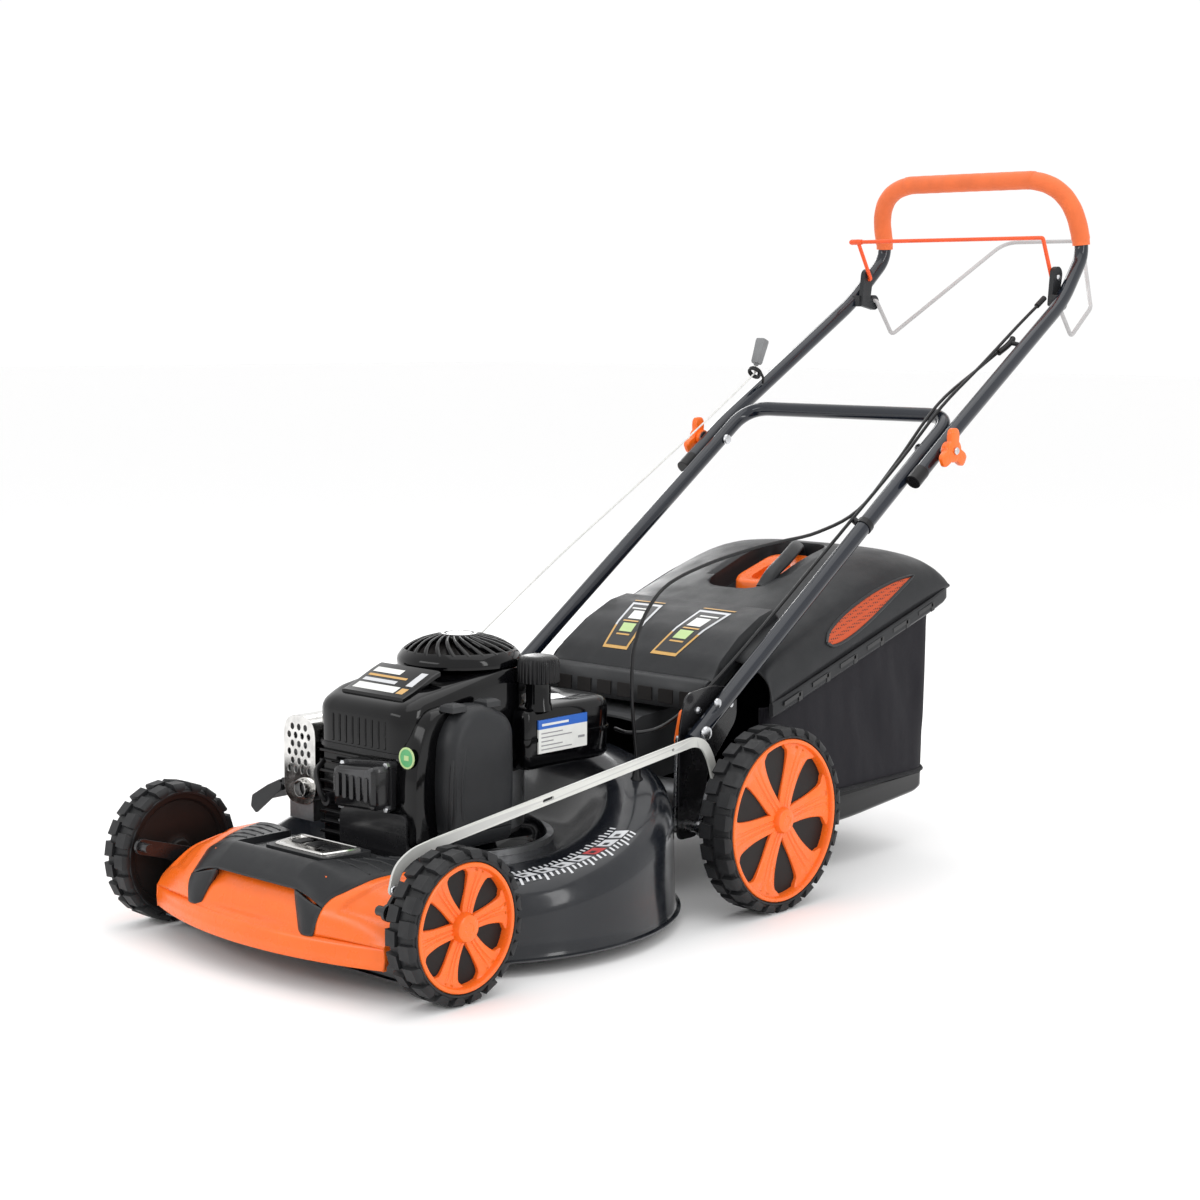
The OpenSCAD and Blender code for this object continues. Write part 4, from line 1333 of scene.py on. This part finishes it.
def muffler_guard():
    """A bright shell with a hole for the exhaust and staggered rows of vent holes."""
    front, back = 93, 150
    outer = round_box((-147, 158), (-86, 272), 26)
    holes = []
    for row in range(6):
        shift = 6.3 if row % 2 else 0
        for col in range(3 if row % 2 else 4):
            x, z = -136.5 + 12.6 * col + shift, 202 + 11 * row
            holes.append([(x + 3.6 * math.cos(a), z + 4.3 * math.sin(a))
                          for a in (math.tau * k / 16 for k in range(16))])
    holes.append(circle(-107, 180, 11))
    shape = plate(outer, holes, 1.4, lambda u, v, w: (u, 94 - w, v))
    inner = scaled(outer, (-117.5, 215), 1.5, 40)
    walls = ((front, outer), (back, outer), (back, inner), (front, inner))
    shape.loft([[(x, d, z) for x, z in outline] for d, outline in walls], joined=True)
    pipe = [(11, 0), (13.5, 0), (13.5, -2), (11.5, -9), (9.5, -9), (10, 0)]
    shape.turned(pipe, -107, 92.6, 180, "d", 32, joined=True)
    piece("guard_shell", shape, "bright_metal", "chassis", "muffler_guard", bevel=0.4)


def tank():
    """Fuel tank: its inner side follows the shroud, and the arc takes the place of its first two corners."""
    hug = 88.5
    arc = [(hug * math.cos(a), SHAFT_D + hug * math.sin(a))
           for a in (math.radians(142 - 7.6 * i) for i in range(19))]
    corners = rounded_loop([(-70, 316), (88.3, 270), (112, 270), (112, 440), (-70, 440)],
                           [0.01, 0.01, 12, 34, 26])
    outline = arc + corners[12:]
    steps = ((205, 7), (207, 3), (212, 0), (241, 0), (241.5, -1.8), (246, -1.8), (246.5, 0), (272, 0),
             (279, 1.6), (283, 5), (284.5, 11))
    rings = [[(x, d, z) for x, d in scaled(outline, (38, 372), inset, 72)] for z, inset in steps]
    piece("tank_shell", Shape().loft(rings), "black_plastic", "chassis", "fuel_tank", smooth=45)


def tank_cap():
    x, d = 100, 305
    neck = [(0, 280), (19, 280), (17.5, 286), (16, 290), (16, 315), (0, 315)]
    piece("tank_neck", Shape().turned(neck, x, d, 0, "z", 40), "black_plastic", "chassis")
    steps = 120
    rings = []
    for z, base, proud in ((316, 25, 1.6), (318, 26, 1.6), (341, 25.6, 1.6), (346, 24.4, 1.0), (349, 21.5, 0),
                           (350.4, 15, 0), (350.8, 6, 0)):
        ring = []
        for i in range(steps):
            a = math.tau * i / steps
            r = base + (proud if i % 4 in (0, 1) else 0)
            ring.append((x + r * math.cos(a), d + r * math.sin(a), z))
        rings.append(ring)
    cap = Shape().loft(rings)
    piece("tank_cap_knob", cap, "satin_black", "tank_cap", "fuel_cap", bevel=0.4)


def tank_label():
    label = Shape()
    label.block((112, 291, 226), (114.4, 381, 257))
    label.block((112, 291, 257), (114.4, 381, 269), paint=1)
    for i in range(5):
        label.block((114.3, 296, 230 + 5.2 * i), (114.7, 352 - 17 * (i % 3), 231.4 + 5.2 * i), paint=2)
    label.block((114.3, 364, 238), (114.7, 376, 241), paint=2)
    label.block((114.3, 297, 261), (114.7, 346, 264), paint=0)
    piece("tank_label", label, "decal_white decal_blue decal_grey", "chassis")


def cylinder():
    """The finned cylinder and crankcase front behind the head, under the shroud."""
    block = Shape().front(round_box((-74, 112), (98, 250), 12), 97, 140)
    for i in range(9):
        z = 128 + 13 * i
        block.block((-78, 93, z), (92, 130, z + 4))
    base = [(0, 106.5), (112, 106.5), (114, 108), (114, 114), (108, 122), (96, 128), (0, 128)]
    block.turned(base, 0, SHAFT_D, 0, "z", 64)
    piece("cylinder_fins", block, "black_plastic", "chassis", bevel=0.8)


def head():
    outline = rounded_loop([(-16, 176), (66, 180), (66, 236), (-16, 228)], 10)
    cover = Shape().loft([[(x, d, z) for x, z in scaled(outline, (25, 205), inset, 34)]
                          for d, inset in ((95.9, 0), (66, 0), (61, 2), (58.5, 6))])
    cover.front(rounded_loop([(-20, 171), (70, 176), (70, 240), (-20, 232)], 10), 80, 95.9)
    for i in range(5):
        cover.front(round_box((-6 + 13 * i, 190), (1 + 13 * i, 220), 3), 56.4, 59)
    cover.front(rounded_loop([(-30, 112), (92, 112), (92, 176), (-30, 170)], 14), 84, 96)
    piece("rocker_lid", cover, "black_paint", "chassis", "rocker_cover", bevel=0.8)
    screws = Shape()
    for x, z in ((-15, 177), (64, 181), (-15, 227), (64, 234)):
        screws.turned([(0, 0), (4.4, 0), (4.4, -4), (3, -4.4), (0, -4.4)], x, 80, z, "d", 6)
    piece("rocker_screws", screws, "zinc", "chassis")
    lead = through([(-29, 72, 182), (-29, 58, 183), (-34, 54, 198), (-48, 62, 214), (-62, 86, 222)], 6)
    boot = Shape().tube(lead, [7, 7] + [3.4] * (len(lead) - 2), 14)
    boot.rod((-29, 78, 182), (-29, 60, 182), 8)
    piece("plug_lead", boot, "cable_sheath", "chassis")


shroud()
shroud_trim()
shroud_label()
shroud_rim()
dome()
air_filter()
filter_cover()
muffler_guard()
tank()
tank_cap()
tank_label()
cylinder()
head()


# ---- rear flap and side deflector ----

FLAP_CURVE = [(591, 289), (611, 313), (655, 343), (704, 366), (736, 373)]


def flap_half(v):
    return 149 - 13 * v


def on_flap(u, v, lift=0.0):
    """A point on the flap's top panel: u from -1 to 1 across it, v from 0 at its foot to 1 at its rear."""
    curve = [Vector((0, *p)) for p in FLAP_CURVE]
    k = min(int(v * 4), 3)
    spot = curve[k].lerp(curve[k + 1], v * 4 - k)
    slope = (curve[k + 1] - curve[k]).normalized()
    bulge = 2.0 * math.sin(math.pi * clamp(v)) * (1 - u * u) + lift
    return Vector((u * flap_half(v), spot.y - slope.z * bulge, spot.z + slope.y * bulge))


def rear_flap():
    rows = []
    for i in range(17):
        v = i / 16
        row = [on_flap(k / 8, v) for k in range(9)]
        edge = row[-1]
        foot = Vector((edge.x - 3, 599 + 158 * v ** 1.1, 262 + 88 * v))
        row += [edge + Vector((1.5, 1, -3)), edge.lerp(foot, 0.5) + Vector((2, 0, 0)), foot]
        rows.append([mirrored(p) for p in reversed(row[1:])] + row)
    rows.append([p + Vector((0, 6, -3)) for p in rows[-1]])
    sheet = Shape().loft(rows, closed=False)
    thicken(piece("flap_panel", sheet, "dark_plastic", "flap", "rear_flap", smooth=30, weld=True), 3.2)


def flap_skirt():
    """The flap's upright front with its row of slots, drawn as dark plates of painted shade, its end plates
    and the two hinge barrels.
    """
    skirt = Shape().loft([[(x, d, z) for x in (-147, -70, 0, 70, 147)]
                          for d, z in ((591, 290), (584, 284), (581, 270), (580, 247))], closed=False)
    thicken(piece("flap_skirt", skirt, "dark_plastic", "flap", smooth=40), 3)
    details = Shape()
    # Painted shade: each slot is a dark plate on the skirt's face.
    for i in range(7):
        x = -114 + 38 * i
        details.front(round_box((x - 13, 252), (x + 13, 272), 2), 579.2, 581, paint=1)
    for x in (-147, 143):
        details.side(rounded_loop([(579, 247), (580, 286), (591, 291), (606, 272), (598, 250)], 4), x, x + 4)
    details.rod((-136, 592, 262), (-120, 592, 262), 7.5).rod((120, 592, 262), (136, 592, 262), 7.5)
    piece("flap_ends", details, "dark_plastic inner_dark", "flap", bevel=0.6)


def flap_decals():
    """Two slanted frames, silver above and gold below, round pale squares and short bars."""
    low, high = 0.24, 0.74
    decal = Shape()

    def quad(sign, v0, v1, u0, u1, lift, paint):
        rows = []
        for i in range(7):
            v = v0 + (v1 - v0) * i / 6
            t = (v - low) / (high - low)
            left, right = 22 + 13 * t, 68 + 24 * t
            xs = [(left + (right - left) * (u0 + (u1 - u0) * k / 4)) / flap_half(v) for k in range(5)]
            rows.append([on_flap(sign * x, v, lift) for x in xs])
        decal.loft(rows, closed=False, paint=paint)

    for sign in (1, -1):
        for v0, v1, u0, u1, lift, paint in (
                (0, 0.45, 0, 1, 0.5, 2), (0.45, 1, 0, 1, 0.5, 0), (0.06, 0.95, 0.08, 0.92, 0.8, 3),
                (0.60, 0.80, 0.25, 0.72, 1.1, 4), (0.33, 0.50, 0.25, 0.72, 1.1, 5),
                (0.53, 0.56, 0.25, 0.80, 1.1, 2), (0.26, 0.29, 0.25, 0.75, 1.1, 2),
                (0.84, 0.87, 0.25, 0.85, 1.1, 1), (1.06, 1.12, 0.0, 1.0, 0.8, 2)):
            quad(sign, low + v0 * (high - low), low + v1 * (high - low), u0, u1, lift, paint)
    inks = "decal_silver decal_white decal_gold decal_black decal_white decal_pale_green"
    piece("flap_decals", decal, inks, "flap")


def side_deflector():
    rows = []
    for i in range(15):
        d = 157 + 166 * i / 14
        reach = 1 - 0.12 * (abs(i - 7) / 7) ** 4
        hinge = -230 * (1 - reach)
        rows.append([(-230, d, 163.5), (-236, d, 163.5), (-262, d, 152), (-292 * reach + hinge, d, 136),
                     (-299 * reach + hinge, d, 125)])
    sheet = Shape().loft(rows, closed=False)
    thicken(piece("deflector_panel", sheet, "dark_plastic", "deflector", "side_deflector", smooth=40), 3.4)
    parts = Shape()
    end = rounded_loop([(-233, 150), (-231, 164), (-262, 152), (-294, 134), (-297, 118), (-286, 110)], 3)
    for d in (157, 322):
        parts.front(end, d, d + 3)
    for i in range(5):
        parts.rod((-228, 157 + 34 * i, 162), (-228, 184 + 34 * i, 162), 5)
    for i in range(4):
        parts.front([(-236, 161), (-290, 135), (-290, 130), (-236, 150)], 185 + 36 * i, 187.5 + 36 * i)
    piece("deflector_ribs", parts, "dark_plastic", "deflector", bevel=0.5)


rear_flap()
flap_skirt()
flap_decals()
side_deflector()


# ---- grass bag ----

BAG_FRONT, BAG_BACK, BAG_HALF = 646, 1048, 200
RECESS = [(-54, 806), (54, 806), (54, 988), (-54, 988)]
RECESS_CENTRE = (0, 897)


def rim_height(d):
    return 248 + 0.303 * (d - BAG_FRONT)


def crown_height(d):
    """Height of the lid's middle: a ramp behind the flap, a flat crown and a steep, round back edge."""
    if d < 740:
        return 318 + 46 * ((d - 648) / 92) ** 0.6 if d > 648 else 318
    if d < 900:
        return 364 + 0.36 * (d - 740)
    if d < 1000:
        return 421.6 + 19 * math.sin(math.radians((d - 900) * 0.9))
    if d < 1040:
        return 440.6 - 4 * ((d - 1000) / 40) ** 2
    return 436.6 - 58 * (1 - math.sqrt(max(1 - ((d - 1040) / 31.5) ** 2, 0)))


def lid_point(d, a, lift=0.0):
    """A point on the lid at angle a from the left rim (0) over the crown (90) to the right rim (180)."""
    low = rim_height(d) + 8
    rise = max(crown_height(d) - low, 12) + lift
    c, s = math.cos(math.radians(a)), math.sin(math.radians(a))
    x = (BAG_HALF + 8 + lift) * math.copysign(abs(c) ** 0.60, c) if abs(c) > 1e-6 else 0
    return Vector((x, d, low + rise * max(s, 0) ** 0.72))


def lid_shell():
    stations = [648, 650, 654, 664, 680] + [700 + 20 * i for i in range(17)]
    stations += [1040, 1048, 1055, 1060, 1064, 1067, 1069.5, 1071]
    rows = [[lid_point(d, a) for a in range(0, 181, 4)] for d in stations]
    lid = piece("lid_shell", Shape().loft(rows, closed=False), "dark_plastic", "bag", "bag_lid", smooth=40)
    lid.data.materials.append(PAINTS["inner_dark"])
    thicken(lid, 3.6)
    bpy.context.view_layer.update()
    solid = bpy.data.meshes.new_from_object(lid.evaluated_get(bpy.context.evaluated_depsgraph_get()))
    lid.modifiers.clear()
    lid.data = solid
    carve(lid, Shape().plan(rounded_loop(RECESS, 38), 362, 520))


def lid_rim():
    path = along([(208, 648, 0), (211, 700, 0), (212, 950, 0), (210, 1040, 0), (200, 1068, 0), (150, 1076, 0),
                  (0, 1078, 0)], 60)
    section = ((0, 11), (1.5, 9), (2, -6), (-1, -10), (-5, -9), (-5, 9))
    rim = Shape().loft([[(p.x + out, p.y, rim_height(p.y) + up) for out, up in section] for p in path])
    piece("lid_rim", rim.mirror(), "dark_plastic", "bag", bevel=0.8)


def lid_slots():
    """Black strips shaped like a hook along each side of the rim: painted shade of the slots there."""
    inner, outer = 213.2, 214.3
    hook = ((0, 5), (34, 5), (40, 1), (40, -8), (32, -8), (32, -1), (0, -1))
    slots = Shape()
    for i in range(6):
        d = 668 + 63 * i

        def spot(x, u, v):
            return (x, d + u, rim_height(d + u) + v)

        slots.loft([[spot(inner, u, v), spot(outer, u, v)] for u, v in hook], closed=False)
        for lows, ends in (((-1, 5), (0, 12, 24, 36)), ((-8, 4), (32, 40))):
            slots.loft([[spot(outer, u, v) for v in lows] for u in ends], closed=False)
    # The slots are painted shade in the black decal ink.
    piece("lid_slots", slots.mirror(), "decal_black", "bag")


def sunk_rings(outline, reach, steps):
    """Rings let into the lid's crown, each step an (inset, depth below the crown)."""
    return [[(x, d, crown_height(d) - depth) for x, d in scaled(outline, RECESS_CENTRE, inset, reach)]
            for inset, depth in steps]


def handle_recess():
    middle = RECESS_CENTRE[1]
    outline = rounded_loop([(x * 1.02, middle + (d - middle) * 1.01) for x, d in RECESS], 38)
    wall = sunk_rings(outline, 70, ((0, 1), (0, 26), (3, 30), (69, 30), (69, 33), (0, 33), (-2.5, 30),
                                    (-2.5, 2)))
    piece("handle_recess", Shape().loft(wall, joined=True), "dark_plastic", "bag")
    pad = sunk_rings(round_box((-38, 856), (42, 970), 26), 60,
                     ((0, 29), (0, 17), (2, 15), (10, 14.5), (30, 19), (31, 28)))
    piece("handle_insert", Shape().loft(pad), "orange_plastic", "bag", "bag_insert", smooth=40)
    path = [(-4, 984, 414), (-4, 978, 430), (6, 962, 438), (24, 930, 436), (38, 890, 424), (46, 850, 408),
            (48, 826, 388)]
    bar = Shape().tube(through(path, 5), 8, 18, squash=(1.3, 0.8))
    piece("bag_handle", bar, "dark_plastic", "bag", smooth=60)


def side_vents():
    """A lens of orange mesh on each side of the lid, with its moulded frame."""
    mesh, frame_edge = Shape(), Shape()
    rows, low_edge, high_edge = [], [], []
    for i in range(25):
        t = i / 24
        d = 775 + 218 * t
        half = 10.5 * math.sin(math.pi * t ** 0.6) ** 0.75 + 0.05
        middle = 17 + 9 * t
        rows.append([lid_point(d, middle + half * (k / 4 - 1), 1.2) for k in range(9)])
        low_edge.append(rows[-1][0])
        high_edge.append(rows[-1][-1])
    mesh.loft(rows, closed=False).mirror()
    piece("vent_mesh", mesh, "vent_mesh", "bag")
    loop = low_edge + high_edge[::-1][1:-1]
    frame_edge.tube(loop + [loop[0]], 2.2, 8).mirror()
    piece("vent_frames", frame_edge, "dark_plastic", "bag")


def bag_panel():
    """The sewn U of cloth that hangs from the lid's rim: it sags and wrinkles between rim and tray."""
    front, half = BAG_FRONT + 2, BAG_HALF
    plan = rounded_loop([(168, front), (half, front), (half, BAG_BACK), (-half, BAG_BACK), (-half, front),
                         (-168, front)], [0.01, 20, 34, 34, 20, 0.01], 8)
    path = along([(x, d, 0) for x, d in plan[9:-9]], 300, 1)
    height, hem = 40, 110
    rows = []
    for k in range(height + 1):
        v = k / height
        row = []
        for i, p in enumerate(path):
            t = tangent(path, i)
            out = Vector((t.y, -t.x, 0))
            z = hem + (rim_height(p.y) + 2 - hem) * v
            corner = math.exp(-((abs(p.x) - 186) / 18) ** 2) * math.exp(-((p.y - 1034) / 18) ** 2)
            sag = 5.0 * math.sin(math.pi * v) * (1 - 0.9 * corner)
            folds = noise.noise(Vector((p.x / 60, p.y / 70 + v * 0.9, z / 150))) * 5.0
            folds += noise.noise(Vector((p.x / 22, p.y / 24 + v * 1.6, z / 60 + 7))) * 1.8
            pleats = math.sin(p.y / 13 + 1.3 * v) * 1.1 * ease((v - 0.72) / 0.28)
            push = (folds + pleats) * math.sin(math.pi * v) ** 0.5 - sag - 1
            lean = 10 * (1 - v) * ease((p.y - 800) / 248)
            row.append(p + out * push + Vector((0, -lean, z)))
        rows.append(row)
    cloth = piece("bag_cloth", Shape().loft(rows, closed=False), "bag_cloth", "bag", "bag_fabric", smooth=70)
    thicken(cloth, 1.6)
    seams = Shape()
    for x in (200.5, -200.5):
        seams.tube(through([(x, 648, 114), (x, 760, 113), (x, 900, 113), (x * 0.985, 1012, 114),
                            (x * 0.93, 1036, 115)], 6), 3, 10)
    back = [(-186, 1037, 115), (-90, 1038, 114), (0, 1038, 113), (90, 1038, 114), (186, 1037, 115)]
    seams.tube(through(back, 6), 3, 10)
    for x in (188, -188):
        seams.tube(through([(x, 1030, 116), (x, 1032, 200), (x, 1035, 300), (x, 1038, 366)], 6), 2.2, 10)
    piece("bag_seams", seams, "seam_tape", "bag")


def bag_tray():
    outline = rounded_loop([(646, 111.5), (646, 108), (700, 72), (817, 62), (1014, 80), (1038, 98),
                            (1038, 111.5)], [0.5, 6, 30, 60, 26, 8, 0.5])
    inner = rounded_loop([(654, 114), (702, 77), (817, 67), (1000, 85), (1016, 98), (1016, 114)], 4)
    rings = []
    half = [(0, 0), (120, 0), (160, 0), (170, 0), (178, 0), (186, 0.5), (192, 2), (196, 4), (198.5, 7),
            (199.5, 10)]
    for x, inset in [(-x, inset) for x, inset in reversed(half)] + half[1:]:
        back = 1008 + math.sqrt(max(30 ** 2 - max(abs(x) - 170, 0) ** 2, 0))
        ring = []
        for d, z in outline:
            up = min(inset, max(111.5 - z, 0))
            ring.append((x, min(d, back), z + up))
        rings.append(ring)
    tray = piece("bag_floor", Shape().loft(rings), "black_plastic", "bag", "bag_tray", smooth=50)
    carve(tray, Shape().side(inner, -170, 170))


lid_shell()
lid_rim()
lid_slots()
handle_recess()
side_vents()
bag_panel()
bag_tray()


# ---- handle and controls ----

LOWER_X, UPPER_X = 194, 216.5
BRAKE, DRIVE = (1386, 845), (1403, 810)
UPPER_SIDE = [(UPPER_X, 958, 546), (UPPER_X, 1056, 614), (202, 1372, 806), (190, 1453, 885),
              (186, 1412, 1000)]


def handle_tubes():
    side = [(LOWER_X, 498, 226.3), (LOWER_X, 1087, 636)]
    path = bent(side + [(-x, d, z) for x, d, z in reversed(side)], [45, 45])
    piece("lower_tube", Shape().tube(path, TUBE_R, 28), "tube_paint", "chassis", "lower_handle", smooth=60)
    bends = [34, 34, 30, 86, 86, 30, 34, 34]
    path = bent(UPPER_SIDE + [(-x, d, z) for x, d, z in reversed(UPPER_SIDE)], bends)
    piece("upper_tube", Shape().tube(path, TUBE_R, 28), "tube_paint", "handle", "upper_handle", smooth=60)
    grip = [p for p in path if p.z > 893]
    fine = along(grip, 150, 2)
    sizes = [14.6 + 0.12 * math.sin(i * 0.9) for i in range(len(fine))]
    sizes[:3] = sizes[-3:] = [13.8] * 3
    sleeve = piece("grip_foam", Shape().tube(fine, sizes, 28), "foam", "handle", "foam_grip", smooth=60)
    ends = Shape()
    for sign in (1, -1):
        low = Vector((sign * UPPER_X, 958, 546))
        up = Vector((0, 98, 68)).normalized()
        ends.tube([low - up * 2, low + up * 26], 11.5, 24)
    piece("tube_sleeves", ends, "satin_black", "handle", bevel=1)


def star_knob(shape, x, thick):
    """A knob with three rounded arms and hollow sides, facing the operator's left."""
    outline = []
    for i in range(72):
        a = math.tau * i / 72
        r = 17 + 16 * ease((math.cos(3 * (a - math.pi / 2)) + 0.35) / 1.25)
        outline.append((r * math.cos(a), r * math.sin(a)))
    steps = ((0, 0.86), (1, 0.95), (2.4, 1), (thick - 2.4, 1), (thick - 0.8, 0.95), (thick, 0.84))
    shape.loft([[(x + at, FOLD[0] + u * k, FOLD[1] + v * k) for u, v in outline] for at, k in steps])
    shape.turned([(0, 0), (13, 0), (13, 5), (11, 8), (0, 8)], x - 7, *FOLD, steps=40)
    return shape


def knobs():
    for side in ("left", "right"):
        shape = star_knob(Shape(), 236, 10)
        metal = Shape().rod((LOWER_X - 16, *FOLD), (UPPER_X + 12, *FOLD), 4)
        metal.turned([(0, 10.5), (5.4, 10.5), (5.4, 12.5), (4, 14), (0, 14)], 236, *FOLD, steps=28)
        bolt(metal, LOWER_X - 12, *FOLD, 8, -5)
        metal.turned([(4, 0), (11, 0), (11, 1.6), (4, 1.6)], UPPER_X + 11, *FOLD, steps=28, joined=True)
        if side == "right":
            shape.flipped()
            metal.flipped()
        piece(f"{side}_star", shape, "orange_plastic", f"{side}_clamp", f"{side}_knob", bevel=0.6)
        piece(f"{side}_clamp_bolt", metal, "zinc", f"{side}_clamp")


def bails():
    pivot, low = Vector((185, *BRAKE)), Vector((174, *BRAKE))
    path = [pivot, low, (177, 1352, 906), (-177, 1352, 906), (-174, *BRAKE), (-185, *BRAKE)]
    shape = Shape().tube(bent(path, [3.5, 3.5, 3.5, 3.5], 5), 3.2, 14)
    shape.tube([(x, 1352, 906) for x in (-169, -176, -190, -193)], [4.2, 4.6, 4.6, 3.4], 14)
    piece("brake_bail_wire", shape, "coated_wire", "brake_lever", "engine_brake_bail", smooth=60)
    path = [(185, *DRIVE), (174, *DRIVE), (174, 1450, 753), (176, 1505, 799), (76, 1641, 912),
            (-76, 1641, 912), (-174, 1450, 753), (-174, *DRIVE), (-185, *DRIVE)]
    shape = Shape().tube(bent(path, [3.5, 8, 8, 26, 26, 8, 3.5], 8), 3.4, 14)
    piece("drive_bail_wire", shape, "pale_wire", "drive_lever", "drive_bail", smooth=60)


def bail_brackets():
    outline = strip([(BRAKE[0], BRAKE[1] + 5), (1380, 806), (DRIVE[0] + 1, DRIVE[1] - 3)], 25)
    holes = [circle(*BRAKE, 3.25), circle(*DRIVE, 2.75)]
    shape = side_plate(rounded_loop(outline, 4), holes, 8, 178)
    shape.block((183, 1366, 800), (198, 1392, 818))
    shape.mirror()
    piece("bracket_bodies", shape, "dark_plastic", "handle", "bail_brackets", bevel=1.5)
    rivets = bolt(bolt(Shape(), 186.2, *BRAKE, 5, 2.5), 186.2, 1382, 812, 6, 3).mirror()
    piece("bracket_rivets", rivets, "zinc", "handle")


def rope_guide():
    turn = Matrix.Rotation(math.radians(-45), 3, "X")
    centre = Vector((-206, 1118, 692))
    coil = []
    for i in range(61):
        a = math.tau * i / 30
        coil.append(centre + turn @ Vector((9.5 * math.cos(a), 9.5 * math.sin(a), -3 + 6 * i / 60)))
    coil.append(centre + turn @ Vector((8, 14, 3)))
    coil.append(centre + turn @ Vector((4, 24, 0)))
    wire = Shape().tube(coil, 2.2, 12)
    piece("guide_coil", wire, "satin_black", "handle", "rope_guide", smooth=60)


def starter_grip():
    grip = Shape()
    lean = Matrix.Rotation(math.radians(-22), 3, "X")
    foot = Vector((-206, 1122, 706))
    ring = round_box((-9, -8), (9, 8), 4)
    grip.loft([[foot + lean @ Vector((x * k, d * k, z)) for x, d in ring]
               for z, k in ((0, 0.72), (3, 0.86), (38, 1.0), (41, 0.96), (42, 0.86), (42, 0.7), (32, 0.62))])
    grip.tube([foot + lean @ Vector((0, 0, z)) for z in (-3, 1)], 4, 16)
    piece("starter_handle", grip, "grey_plastic", "pull_grip", "starter_grip", bevel=0.6)


def cable_fittings():
    upper = Shape()
    upper.tube(through([(184, 1262, 750), (186, 1256, 746), (185, 1244, 738), (182, 1226, 728)], 4), 4.8, 14)
    upper.rod((198, 1256, 741), (184, 1252, 744), 3.6)
    upper.rod((184, 1350, 813), (183, 1330, 800), 4.4)
    piece("cable_ends", upper, "satin_black", "handle", bevel=0.5)
    heads = bolt(bolt(Shape(), 213.5, 1270, 744, 5.5, 3), 217, 1190, 696, 5, 3)
    heads.turned([(0, 0), (6, 0), (6, -3), (3, -4.4), (0, -4.4)], -223, 1184, 690, steps=24)
    piece("tube_bolts", heads, "zinc", "handle")
    clip = Shape()
    at = Vector((LOWER_X, 872, 486.4))
    clip.tube([at - 5 * LEG, at + 5 * LEG], 12.6, 24)
    clip.rod(at + Vector((-10, -2, 2)), (173, 872, 495), 5)
    piece("cable_clip", clip, "satin_black", "chassis", bevel=0.6)
    profile = [(0, 172), (9, 172), (9, 178), (6, 182), (5, 194), (3, 196), (0, 196)]
    gland = Shape().turned(profile, 150, 438, 0, "z", 28)
    piece("cable_gland", gland, "satin_black", "chassis")


handle_tubes()
knobs()
bails()
bail_brackets()
rope_guide()
starter_grip()
cable_fittings()
